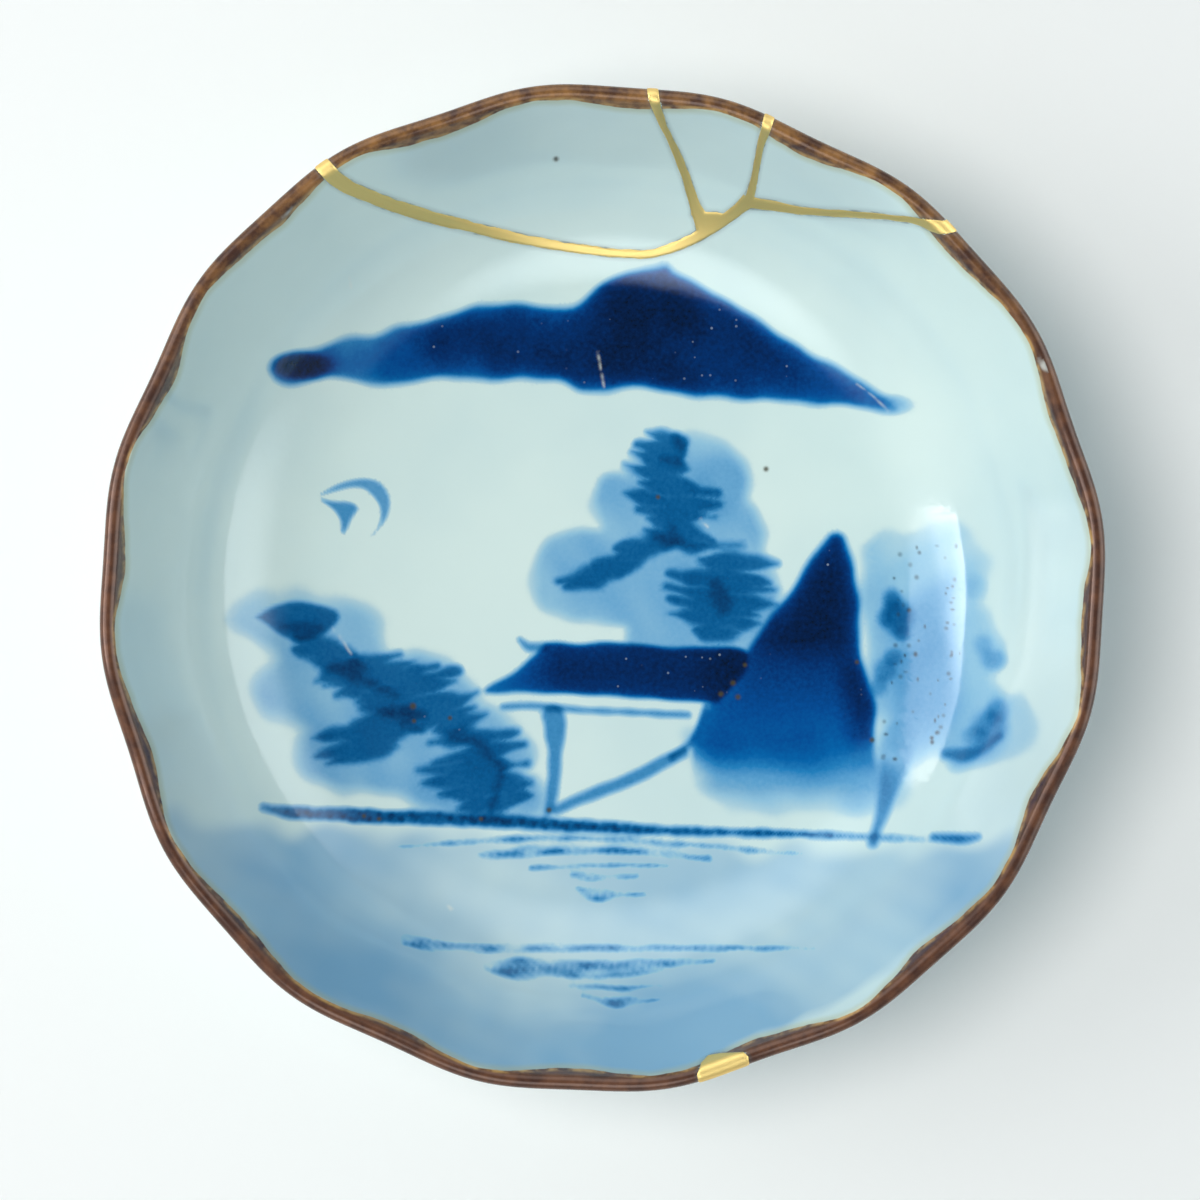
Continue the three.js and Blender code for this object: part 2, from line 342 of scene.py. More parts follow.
def mesh_of(name, points, faces, **attributes):
    """A mesh in metres from places in mm, with a number at each point for every attribute."""
    mesh = bpy.data.meshes.new(name)
    mesh.vertices.add(len(points))
    mesh.vertices.foreach_set("co", (np.asarray(points) * MM).astype(np.float32).ravel())
    mesh.loops.add(faces.size)
    mesh.loops.foreach_set("vertex_index", faces.astype(np.int32).ravel())
    mesh.polygons.add(len(faces))
    mesh.polygons.foreach_set("loop_start", np.arange(0, faces.size, 3, dtype=np.int32))
    mesh.update(calc_edges=True)
    for key, values in attributes.items():
        write(mesh, key, values)
    return mesh


def write(mesh, key, values):
    layer = mesh.attributes.get(key) or mesh.attributes.new(key, "FLOAT", "POINT")
    layer.data.foreach_set("value", np.asarray(values, np.float32))


def read(mesh, key):
    values = np.zeros(len(mesh.vertices), np.float32)
    mesh.attributes[key].data.foreach_get("value", values)
    return values


def places(mesh):
    """The places of a mesh's points, in mm."""
    flat = np.zeros(len(mesh.vertices) * 3, np.float32)
    mesh.vertices.foreach_get("co", flat)
    return flat.reshape(-1, 3) / MM


def shown(name, mesh):
    piece = bpy.data.objects.new(name, mesh)
    bpy.context.scene.collection.objects.link(piece)
    return piece


def settled(piece):
    """The piece's evaluated shape as a plain mesh, with its modifiers gone."""
    bpy.context.view_layer.update()
    plain = bpy.data.meshes.new_from_object(piece.evaluated_get(bpy.context.evaluated_depsgraph_get()))
    bpy.data.objects.remove(piece)
    return plain


def combined(mesh, others, operation):
    """A closed mesh cut by, joined with or kept inside other closed meshes."""
    for other in others:
        piece, tool = shown("work", mesh), shown("tool", other)
        step = piece.modifiers.new("cut", "BOOLEAN")
        step.solver = "MANIFOLD"
        step.operation = operation
        step.object = tool
        mesh = settled(piece)
        bpy.data.objects.remove(tool)
    return mesh


# The kinds of node that the trees use most
MATH, VECTOR, RANGE = "ShaderNodeMath", "ShaderNodeVectorMath", "ShaderNodeMapRange"
SPLIT, JOIN = "ShaderNodeSeparateXYZ", "ShaderNodeCombineXYZ"
ATTRIBUTE, NOISE, MIX = "ShaderNodeAttribute", "ShaderNodeTexNoise", "ShaderNodeMix"


def feed(made, feeds):
    """Links or sets a node's inputs, in order or by name: a socket is linked, a plain value set."""
    for slot, value in feeds.items() if isinstance(feeds, dict) else enumerate(feeds):
        if isinstance(value, bpy.types.NodeSocket):
            made.id_data.links.new(value, made.inputs[slot])
        else:
            made.inputs[slot].default_value = value


def add(tree, kind, feeds=(), out=0, **settings):
    """Adds a node with its settings and its feeds, and gives one of its outputs, or the node."""
    made = tree.nodes.new(kind)
    for key, value in settings.items():
        setattr(made, key, value)
    feed(made, feeds)
    return made if out is None else made.outputs[out]


def tree_with(name, inputs):
    """A geometry tree with named inputs: the tree, what adds a node to it, and its inputs."""
    tree = bpy.data.node_groups.new(name, "GeometryNodeTree")
    for way, sockets in (("INPUT", {"Geometry": "Geometry"} | inputs), ("OUTPUT", {"Geometry": "Geometry"})):
        for key, kind in sockets.items():
            tree.interface.new_socket(key, in_out=way, socket_type="NodeSocket" + kind)
    node = partial(add, tree)
    return tree, node, node("NodeGroupInput", out=None).outputs


def close_tree(node, geometry, material):
    """Ends a tree in real geometry that carries its material."""
    real = node("GeometryNodeRealizeInstances", [geometry])
    dressed = node("GeometryNodeSetMaterial", {"Geometry": real, "Material": material})
    node("NodeGroupOutput", [dressed], out=None)


def run_tree(name, mesh, tree, values):
    """Runs a tree over a mesh and gives the result as a plain mesh."""
    piece = shown(name, mesh)
    step = piece.modifiers.new(name, "NODES")
    step.node_group = tree
    sockets = {item.name: item.identifier for item in tree.interface.items_tree if item.in_out == "INPUT"}
    for key, value in values.items():
        step[sockets[key]] = value
    return settled(piece)


def pressing_tree():
    """Presses the lobes and the kiln's warp into a turned bowl: full at the lip, none at the floor."""
    numbers = ["Rim height", "Floor height", "Lobe rise"]
    numbers += [f"{wave} {what}" for wave in RIM_WAVES for what in ("count", "depth", "bearing")]
    inputs = {key: "Float" for key in numbers} | {"Material": "Material"}
    tree, node, given = tree_with("Pressed lobes", inputs)
    x, y, z = node(SPLIT, [node("GeometryNodeInputPosition")], out=None).outputs
    bearing = node(MATH, [y, x], operation="ARCTAN2")
    above = node(MATH, [z, given["Floor height"]], operation="SUBTRACT")
    whole = node(MATH, [given["Rim height"], given["Floor height"]], operation="SUBTRACT")
    climb = node(MATH, [above, whole], operation="DIVIDE")
    smooth = node(RANGE, [climb], interpolation_type="SMOOTHSTEP")
    root = node(MATH, [node(MATH, [climb, 0.0], operation="MAXIMUM")], operation="SQRT")
    part = node(MATH, [smooth, root], operation="MULTIPLY")
    out, waves = 0.0, {}
    for key in RIM_WAVES:
        turned = node(MATH, [bearing, given[f"{key} bearing"]], operation="SUBTRACT")
        angle = node(MATH, [turned, given[f"{key} count"]], operation="MULTIPLY")
        waves[key] = node(MATH, [angle], operation="COSINE")
        deep = node(MATH, [waves[key], given[f"{key} depth"]], operation="MULTIPLY")
        out = node(MATH, [out, deep], operation="ADD")
    away = node(VECTOR, [node(JOIN, [x, y])], operation="NORMALIZE")
    push = node(VECTOR, {0: away, "Scale": node(MATH, [out, part], operation="MULTIPLY")}, operation="SCALE")
    rise = node(MATH, [waves["Lobes"], given["Lobe rise"]], operation="MULTIPLY")
    lift = node(JOIN, {2: node(MATH, [rise, part], operation="MULTIPLY")})
    feeds = {"Geometry": given["Geometry"], "Offset": node(VECTOR, [push, lift])}
    close_tree(node, node("GeometryNodeSetPosition", feeds), given["Material"])
    return tree


def pressed(mesh, section, form, material):
    values = {
        "Rim height": form.height,
        "Floor height": section.floor * MM,
        "Lobe rise": form.lobe_rise,
        "Material": material,
    }
    for key, (count, depth, bearing) in RIM_WAVES.items():
        values[f"{key} count"] = float(count)
        values[f"{key} depth"] = depth * MM
        values[f"{key} bearing"] = math.radians(bearing)
    return run_tree("pressed", mesh, pressing_tree(), values)


def at_rim(bearing, inset):
    """A place seen from above, from its bearing and its distance in from the mean rim, in mm."""
    return direction(bearing) * (RIM - inset)


def centripetal(points, step):
    """Even places along a centripetal curve through the points."""
    points = np.asarray(points, float)
    ends = [2 * points[0] - points[1]], points, [2 * points[-1] - points[-2]]
    p = np.concatenate(ends)
    fine = []
    for a, b, c, d in zip(p, p[1:], p[2:], p[3:]):
        knots = np.cumsum([0] + [np.linalg.norm(q - r) ** 0.5 for q, r in ((b, a), (c, b), (d, c))])
        t = np.linspace(knots[1], knots[2], 24, endpoint=False)[:, None]

        def blend(u, v, s, e):
            return ((e - t) * u + (t - s) * v) / (e - s)

        ab, bc, cd = (blend(u, v, s, e) for u, v, s, e in zip((a, b, c), (b, c, d), knots, knots[1:]))
        abc, bcd = blend(ab, bc, knots[0], knots[2]), blend(bc, cd, knots[1], knots[3])
        fine.append(blend(abc, bcd, knots[1], knots[2]))
    fine = np.concatenate(fine + [points[-1:]])
    reach = np.concatenate([[0], np.cumsum(np.linalg.norm(np.diff(fine[:, :2], axis=0), axis=1))])
    even = np.linspace(0, reach[-1], max(2, math.ceil(reach[-1] / step)) + 1)
    return np.column_stack([np.interp(even, reach, fine[:, i]) for i in range(fine.shape[1])])


def drift(x, y, wave, seed):
    """Smooth noise of about -1 to 1 over a plane, from a few waves of about one length."""
    draw = np.random.default_rng(seed)
    total = 0
    for _ in range(7):
        turn, phase, length = draw.uniform(0, 2 * math.pi), draw.uniform(0, 9), wave * draw.uniform(0.6, 1.7)
        total = total + np.sin((x * math.cos(turn) + y * math.sin(turn)) * 2 * math.pi / length + phase)
    return total / 2.6


def crack_line(crack, step=CRACK_STEP):
    """Stations along a crack in mm: x, y and the width of the gold."""
    return centripetal([(*at_rim(bearing, inset), width) for bearing, inset, width in crack], step)


def gap_to_line(x, y, line):
    """Distance in mm from places to the edge of a band whose stations are x, y and width."""
    gap = np.full(np.shape(x), 99.0)
    for (ax, ay, aw), (bx, by, bw) in zip(line, line[1:]):
        dx, dy = bx - ax, by - ay
        t = np.clip(((x - ax) * dx + (y - ay) * dy) / (dx * dx + dy * dy + 1e-9), 0, 1)
        away = np.hypot(x - ax - t * dx, y - ay - t * dy) - (aw + (bw - aw) * t) / 2
        gap = np.minimum(gap, away)
    return gap


def gap_to_loop(x, y, loop):
    """Distance from places to a closed outline, less than nothing inside it."""
    gap = np.full(np.shape(x), 1e6)
    inside = np.zeros(np.shape(x), bool)
    for (ax, ay), (bx, by) in zip(loop, np.roll(loop, -1, axis=0)):
        dx, dy = bx - ax, by - ay
        t = np.clip(((x - ax) * dx + (y - ay) * dy) / (dx * dx + dy * dy + 1e-9), 0, 1)
        gap = np.minimum(gap, np.hypot(x - ax - t * dx, y - ay - t * dy))
        crosses = ((ay > y) != (by > y)) & (x < ax + (y - ay) * dx / (dy if dy else 1e-9))
        inside ^= crosses
    return np.where(inside, -gap, gap)


def web_loop():
    return at_rim(*LEFT_JOINT[:2]) + np.array(WEB)


def chip_frame():
    out = direction(CHIP_BEARING)
    return at_rim(CHIP_BEARING, 0), out, np.array([-out[1], out[0]])


def chip_loop():
    middle, out, along = chip_frame()
    return np.array([middle + along * aside - out * inset for aside, inset in CHIP_OUTLINE])


def gap_to_seam(x, y):
    """Distance in mm, seen from above, to the edge of the seam's gold: below nothing inside it."""
    lines = [gap_to_line(x, y, crack_line(crack, 1.5)) for crack in CRACKS]
    return np.minimum.reduce(lines + [gap_to_loop(x, y, web_loop())])


def gap_to_chip(x, y):
    return gap_to_loop(x, y, chip_loop())


def gap_to_hollow(points):
    """Distance in mm to the egg-shaped hollow that broke out of the near rim."""
    middle, out, along = chip_frame()
    flat = points[:, :2] - middle
    local = np.stack([flat @ out, flat @ along, points[:, 2] - HEIGHT], 1)
    return (np.linalg.norm(local / CHIP_HOLLOW, axis=1) - 1) * min(CHIP_HOLLOW)


class PlanMap:
    """Distances over the bowl's plan, worked out once and read between the points of a grid."""

    def __init__(self, distance, reach=80.0, step=0.25):
        self.reach, self.step = reach, step
        line = np.arange(-reach, reach + step, step)
        x, y = np.meshgrid(line, line)
        self.grid = distance(x, y).astype(np.float32)

    def __call__(self, x, y):
        return sampled(self.grid, (x + self.reach) / self.step + 0.5, (y + self.reach) / self.step + 0.5)


def prism(name, outline, more=0):
    """An upright closed block over an outline given against the clock, in mm."""
    count = len(outline)
    ends = BLOCK_LOW - more, BLOCK_HIGH + more
    points = np.concatenate([np.column_stack([outline, np.full(count, z)]) for z in ends])
    mesh = bpy.data.meshes.new(name)
    sides = [(i, (i + 1) % count, count + (i + 1) % count, count + i) for i in range(count)]
    faces = [list(range(count))[::-1], list(range(count, 2 * count))] + sides
    mesh.from_pydata((points * MM).tolist(), [], faces)
    return mesh


def against_clock(outline):
    x, y = np.asarray(outline).T
    area = np.sum(x * np.roll(y, -1) - np.roll(x, -1) * y)
    return np.asarray(outline) if area > 0 else np.asarray(outline)[::-1]


def grown(outline, margin):
    """An outline given against the clock, moved out by a margin."""
    ahead, behind = np.roll(outline, -1, axis=0), np.roll(outline, 1, axis=0)
    along = ahead - behind
    out = np.column_stack([along[:, 1], -along[:, 0]])
    return outline + out / np.linalg.norm(out, axis=1)[:, None] * margin


def gold_prisms(margin, wobble):
    """The upright blocks whose sum is the mend's plan, each side moved out by the margin."""
    blocks = []
    for number, crack in enumerate(CRACKS):
        line = crack_line(crack)
        ahead = np.gradient(line[:, :2], axis=0)
        side = np.column_stack([-ahead[:, 1], ahead[:, 0]]) / np.linalg.norm(ahead, axis=1)[:, None]
        reach = np.arange(len(line)) * CRACK_STEP
        edges = []
        for sign in (1, -1):
            stray = wobble * drift(reach, reach * 0, 3.0, 40 + 2 * number + sign)
            edges.append(line[:, :2] + side * (sign * (line[:, 2] / 2 + margin + stray))[:, None])
        outline = against_clock(np.concatenate([edges[0], edges[1][::-1]]))
        blocks.append(prism("crack", outline))
    blocks.append(prism("web", grown(against_clock(web_loop()), margin)))
    return blocks


def shard_prisms():
    """The upright blocks that hold each of the three shards, out past the rim."""
    main, left, middle, right = (crack_line(crack) for crack in CRACKS)
    split = np.argmin(np.linalg.norm(main[:, :2] - at_rim(*LEFT_JOINT[:2]), axis=1))
    borders = {
        "rim_shard_left": [main[: split + 1], left],
        "rim_shard_middle": [left[::-1], main[split:], middle],
        "rim_shard_right": [middle[::-1], right],
    }
    blocks = {}
    for name, parts in borders.items():
        line = np.concatenate(parts)[:, :2]
        start, end = (math.degrees(math.atan2(*line[i][::-1])) for i in (0, -1))
        arc_back = [at_rim(bearing, PAST_RIM) for bearing in np.linspace(end, start, 24)[1:-1]]
        blocks[name] = prism(name, against_clock(np.concatenate([line, arc_back])), BLOCK_MORE)
    return blocks


def chip_block(margin):
    """The part of the chip's hollow inside its outline, both widened by a margin."""
    middle, out, along = chip_frame()
    block = prism("chip", grown(against_clock(chip_loop()), margin))
    rings, sides = 24, 48
    tilt = np.pi * np.arange(1, rings) / rings
    turn = 2 * np.pi * np.arange(sides) / sides
    level = [np.outer(np.sin(tilt), part) for part in (np.cos(turn), np.sin(turn))]
    unit = np.stack([*level, np.repeat(np.cos(tilt)[:, None], sides, 1)], 2).reshape(-1, 3)
    unit = np.concatenate([unit, [[0, 0, 1], [0, 0, -1]]])
    sizes = np.array(CHIP_HOLLOW) + margin
    flat = unit[:, :1] * sizes[0] * out + unit[:, 1:2] * sizes[1] * along + middle
    points = np.column_stack([flat, HEIGHT + unit[:, 2] * sizes[2]])
    grid = np.arange((rings - 1) * sides).reshape(rings - 1, sides)
    after = np.roll(grid, -1, axis=1)
    faces = np.concatenate([
        np.stack([grid[:-1], grid[1:], after[1:]], 2).reshape(-1, 3),
        np.stack([grid[:-1], after[1:], after[:-1]], 2).reshape(-1, 3),
        np.column_stack([np.full(sides, len(unit) - 2), grid[0], after[0]]),
        np.column_stack([np.full(sides, len(unit) - 1), after[-1], grid[-1]]),
    ])
    return combined(mesh_of("hollow", points, faces), [block], "INTERSECT")


def camera_place(stage):
    """Where the lens and the film's width put the camera, in mm, to frame the picture at the rim."""
    gap = PICTURE * PIXEL_MM * stage.lens / stage.sensor
    x = (PICTURE / 2 - AXIS_PIXEL[0]) * PIXEL_MM
    y = (AXIS_PIXEL[1] - PICTURE / 2) * PIXEL_MM
    return np.array([x, y, HEIGHT + gap])


def to_pixels(points, camera):
    """The picture's pixels where places in mm are seen from the camera."""
    reach = (camera[2] - HEIGHT) / (camera[2] - points[:, 2])
    flat = camera[:2] + (points[:, :2] - camera[:2]) * reach[:, None]
    return AXIS_PIXEL[0] + flat[:, 0] / PIXEL_MM, AXIS_PIXEL[1] - flat[:, 1] / PIXEL_MM


# The painting's broad areas and strokes, in the picture's pixels. Areas are closed outlines, and
# strokes are points with the brush's width at each.
MOUNTAIN = [
    (271, 370), (276, 360), (290, 353), (306, 350), (329, 343), (352, 337), (375, 335), (398, 325),
    (428, 324), (441, 319), (471, 305), (490, 303), (540, 306), (575, 303), (604, 284), (628, 271),
    (655, 268), (667, 265), (676, 272), (708, 291), (742, 310), (779, 333), (811, 351), (848, 375),
    (887, 398), (897, 409), (871, 409), (818, 405), (772, 400), (747, 402), (699, 396), (657, 391),
    (623, 388), (602, 392), (581, 391), (561, 381), (503, 381), (460, 377), (421, 381), (386, 384),
    (356, 381), (329, 377), (315, 381), (299, 384), (283, 383), (274, 378),
]
CRESCENT = [
    (320, 495), (338, 485), (353, 480), (368, 479), (380, 483), (387, 493), (389, 504), (386, 518),
    (378, 529), (371, 537), (378, 528), (381, 518), (380, 506), (374, 497), (365, 489), (353, 487),
    (338, 490),
]
CRESCENT_WEDGE = [
    (322, 500), (334, 502), (351, 503), (358, 508), (352, 518), (346, 530), (342, 534), (341, 522),
    (334, 510),
]
LEFT_PINE_WASH = [
    (230, 620), (234, 606), (245, 596), (277, 590), (331, 592), (356, 599), (377, 617), (385, 638),
    (392, 650), (420, 653), (440, 659), (462, 672), (476, 686), (479, 706), (510, 720), (525, 733),
    (533, 745), (529, 762), (520, 776), (541, 783), (543, 806), (500, 818), (441, 810), (388, 794),
    (325, 785), (304, 774), (300, 744), (304, 728), (283, 721), (262, 712), (255, 695), (262, 678),
    (272, 659), (251, 640), (236, 631),
]
MIDDLE_PINE_WASH = [
    (688, 434), (709, 436), (731, 447), (746, 466), (751, 482), (746, 499), (757, 514), (764, 531),
    (764, 549), (772, 566), (777, 583), (781, 600), (760, 650), (627, 650), (627, 626), (599, 624),
    (573, 619), (551, 612), (536, 597), (532, 577), (536, 557), (547, 542), (564, 534), (584, 530),
    (601, 528), (594, 514), (591, 497), (601, 482), (616, 475), (627, 473), (631, 460), (640, 445),
    (660, 436),
]
MIDDLE_PINE_LOBE = [
    (694, 470), (706, 458), (728, 457), (746, 468), (751, 483), (744, 502), (728, 516), (708, 514),
    (696, 496),
]
RIGHT_PINE_WASH = [
    (862, 546), (884, 534), (914, 530), (930, 519), (956, 518), (976, 532), (988, 556), (991, 584),
    (986, 604), (996, 630), (1004, 656), (998, 680), (1008, 700), (1012, 726), (1002, 748), (980, 760),
    (950, 762), (930, 752), (907, 759), (888, 750), (874, 700), (866, 640), (860, 590),
]
ROOF = [
    (536, 654), (547, 643), (581, 644), (629, 644), (677, 647), (746, 651), (748, 663), (740, 678),
    (720, 702), (716, 704), (677, 701), (646, 698), (590, 695), (542, 694), (514, 693), (484, 693),
    (484, 689), (503, 678), (523, 665),
]
HILL = [
    (829, 535), (836, 532), (843, 535), (848, 545), (855, 568), (860, 599), (860, 642), (866, 670),
    (873, 693), (876, 712), (874, 740), (874, 790), (790, 790), (702, 790), (692, 760), (692, 744),
    (704, 712), (727, 679), (751, 646), (770, 618), (793, 587), (812, 557),
]
HILL_FOOT = [
    (694, 738), (760, 744), (850, 742), (884, 752), (902, 776), (898, 798), (862, 806), (800, 802),
    (742, 802), (708, 786),
]
SHORELINE = [
    (264, 808, 7), (290, 812, 11), (365, 816, 13), (478, 820, 13), (578, 826, 12), (677, 831, 8),
    (792, 834, 6), (872, 837, 5), (915, 839, 5), (960, 839, 4),
]
SHORE_END = [(934, 837, 6), (946, 838, 9), (964, 839, 9), (978, 837, 5)]
RIPPLES = [
    [
        (398, 847, 3), (459, 843, 4), (538, 838, 4), (597, 839, 4), (696, 845, 4), (748, 850, 4),
        (802, 854, 2),
    ],
    [(480, 855, 4), (496, 854, 8), (597, 850, 7), (660, 854, 6), (700, 858, 5), (708, 858, 7)],
    [(531, 868, 3), (600, 865, 4), (667, 866, 3)],
    [(573, 875, 8), (600, 877, 5), (637, 876, 3)],
    [(577, 888, 3), (588, 894, 10), (601, 896, 14), (618, 895, 6), (645, 894, 3)],
    [(406, 940, 12), (428, 945, 14), (460, 948, 8), (601, 948, 7), (716, 948, 6), (814, 949, 2)],
    [
        (486, 967, 6), (500, 968, 15), (520, 969, 22), (545, 968, 17), (573, 967, 13), (640, 964, 9),
        (713, 961, 5),
    ],
    [(557, 975, 4), (600, 976, 6), (661, 971, 3)],
    [(571, 986, 4), (620, 988, 6), (661, 986, 4)],
    [(583, 996, 4), (605, 1001, 9), (620, 1003, 12), (640, 1001, 7), (661, 999, 3)],
]

# The water's edge along the shore, closed round outside the bowl, and the pools where its wash
# lies deeper, as x, y, half width, half height and amount
WATER = [
    (100, 815), (210, 822), (280, 828), (420, 834), (560, 842), (700, 848), (860, 850), (980, 845),
    (1110, 838), (1110, 1150), (100, 1150),
]
POOLS = [
    (280, 895, 75, 70, 0.5), (720, 1030, 110, 55, 0.6), (560, 1060, 150, 40, 0.4),
    (970, 905, 50, 60, 0.5), (360, 1000, 90, 50, 0.35),
]

# The hut's timbers and the hook of its roof, and the right pine's trunk
EAVE = [(503, 707, 5), (536, 706, 7), (568, 709, 6), (623, 712, 6), (688, 715, 6)]
POST = [(553, 716, 22), (555, 726, 22), (555, 752, 14), (552, 795, 11), (548, 812, 8)]
BRACE = [(556, 810, 9), (590, 795, 12), (633, 778, 12), (666, 761, 12), (683, 753, 11)]
BRACE_TAIL = [(672, 757, 7), (690, 743, 6), (701, 721, 5), (706, 706, 4)]
ROOF_HOOK = [(520, 640, 5), (529, 647, 8), (546, 646, 7)]
RIGHT_TRUNK = [
    (899, 738, 34), (896, 758, 30), (890, 782, 21), (885, 802, 15), (879, 822, 11), (875, 834, 10),
    (873, 843, 11),
]

# The pines' boughs. Each has the slope of its dabs in degrees, falling to the right, and its stem's
# stations, with the reach of the dabs to the left and to the right of each
BOUGHS = [
    (6, [(322, 646, 30, 28), (334, 657, 40, 24), (344, 666, 26, 30)]),
    (-16, [
        (340, 674, 24, 70), (368, 688, 28, 72), (398, 702, 28, 74), (428, 714, 26, 56),
        (452, 726, 20, 36),
    ]),
    (-10, [(396, 714, 48, 26), (382, 728, 70, 40), (374, 742, 72, 40), (372, 752, 54, 26)]),
    (-6, [
        (468, 740, 40, 50), (470, 756, 52, 62), (474, 772, 60, 58), (480, 788, 58, 54),
        (490, 803, 42, 46),
    ]),
    (13, [
        (677, 442, 32, 8), (670, 462, 42, 16), (666, 490, 38, 44), (670, 514, 40, 52), (676, 538, 34, 38),
    ]),
    (-15, [(656, 544, 44, 22), (634, 556, 50, 28), (612, 568, 50, 36), (598, 578, 44, 40)]),
    (4, [
        (728, 564, 36, 44), (722, 582, 48, 52), (718, 602, 50, 52), (716, 620, 46, 48),
        (720, 632, 24, 28),
    ]),
]
LEAF = [
    (256, 617), (276, 606), (302, 602), (326, 607), (338, 616), (330, 630), (306, 641), (280, 634),
    (266, 624),
]
DARK_BRANCHES = [
    [(671, 528, 7), (679, 542, 10), (692, 550, 10), (711, 547, 8), (742, 545, 5)],
    [(453, 738, 7), (478, 742, 8), (489, 756, 9), (501, 768, 9), (497, 790, 8), (490, 814, 8)],
    [(350, 678, 8), (372, 684, 10), (396, 694, 8)],
    [(284, 626, 7), (302, 628, 12), (320, 628, 8)],
    [(676, 438, 10), (681, 446, 11)],
    [(664, 459, 7), (678, 461, 10)],
    [(716, 586, 14), (722, 598, 20), (724, 608, 14)],
]

# Soft blots of the right pine, as x, y, half width, half height and amount
RIGHT_PINE_BLOTS = [
    (928, 600, 26, 34, 0.12), (924, 672, 34, 62, 0.24), (892, 600, 9, 11, 0.5), (897, 617, 14, 16, 0.6),
    (884, 618, 7, 9, 0.3), (902, 634, 8, 7, 0.4), (893, 657, 9, 8, 0.34), (885, 670, 11, 11, 0.36),
    (879, 686, 8, 10, 0.3), (997, 711, 11, 11, 0.36), (990, 726, 17, 15, 0.44), (975, 736, 12, 9, 0.3),
    (983, 645, 9, 10, 0.2), (994, 660, 12, 10, 0.3), (976, 588, 11, 12, 0.14),
]
RIGHT_PINE_STROKE = [(946, 754, 9), (964, 755, 13), (982, 749, 11), (1000, 736, 5)]
RIGHT_PINE_HALO = [
    (1000, 700), (1016, 694), (1030, 706), (1038, 726), (1034, 744), (1020, 756), (996, 762), (972, 768),
    (952, 766), (966, 750), (1000, 742), (1012, 724),
]

# Places where the glaze is rubbed white, and kiln specks, with their widths
RUBS = [
    [(598, 352, 1.5), (601, 370, 2), (605, 392, 1.5)],
    [(700, 519, 2.5), (708, 527, 1.5)],
    [(332, 627, 3), (341, 638, 3), (351, 654, 2)],
    [(349, 277, 2), (352, 292, 2)],
    [(857, 384, 1.5), (874, 397, 1.5), (888, 411, 1.5)],
    [(283, 216, 5), (291, 208, 2)],
    [(1041, 360, 7), (1046, 370, 6)],
    [(452, 910, 4), (446, 903, 2)],
]
SPECKS = [
    (413, 706, 6), (414, 721, 4), (450, 718, 4), (364, 816, 4), (379, 819, 4), (481, 819, 4),
    (549, 810, 5), (658, 497, 4), (766, 469, 5), (556, 159, 5), (733, 683, 5), (721, 694, 5),
    (745, 665, 4), (738, 697, 5), (857, 662, 4), (872, 740, 5),
]
# How many pinholes: real pits in the glaze, strung along the edges of the mirrored window and painted dark
# where they break its reflection, so partly painted shade
PITS = 60

# What is painted on the canvas, and the distances that the glaze goes by as well
LAYERS = ("cobalt", "royal", "water", "rub", "speck", "pit")
DISTANCES = ("iron", "seam", "lip")


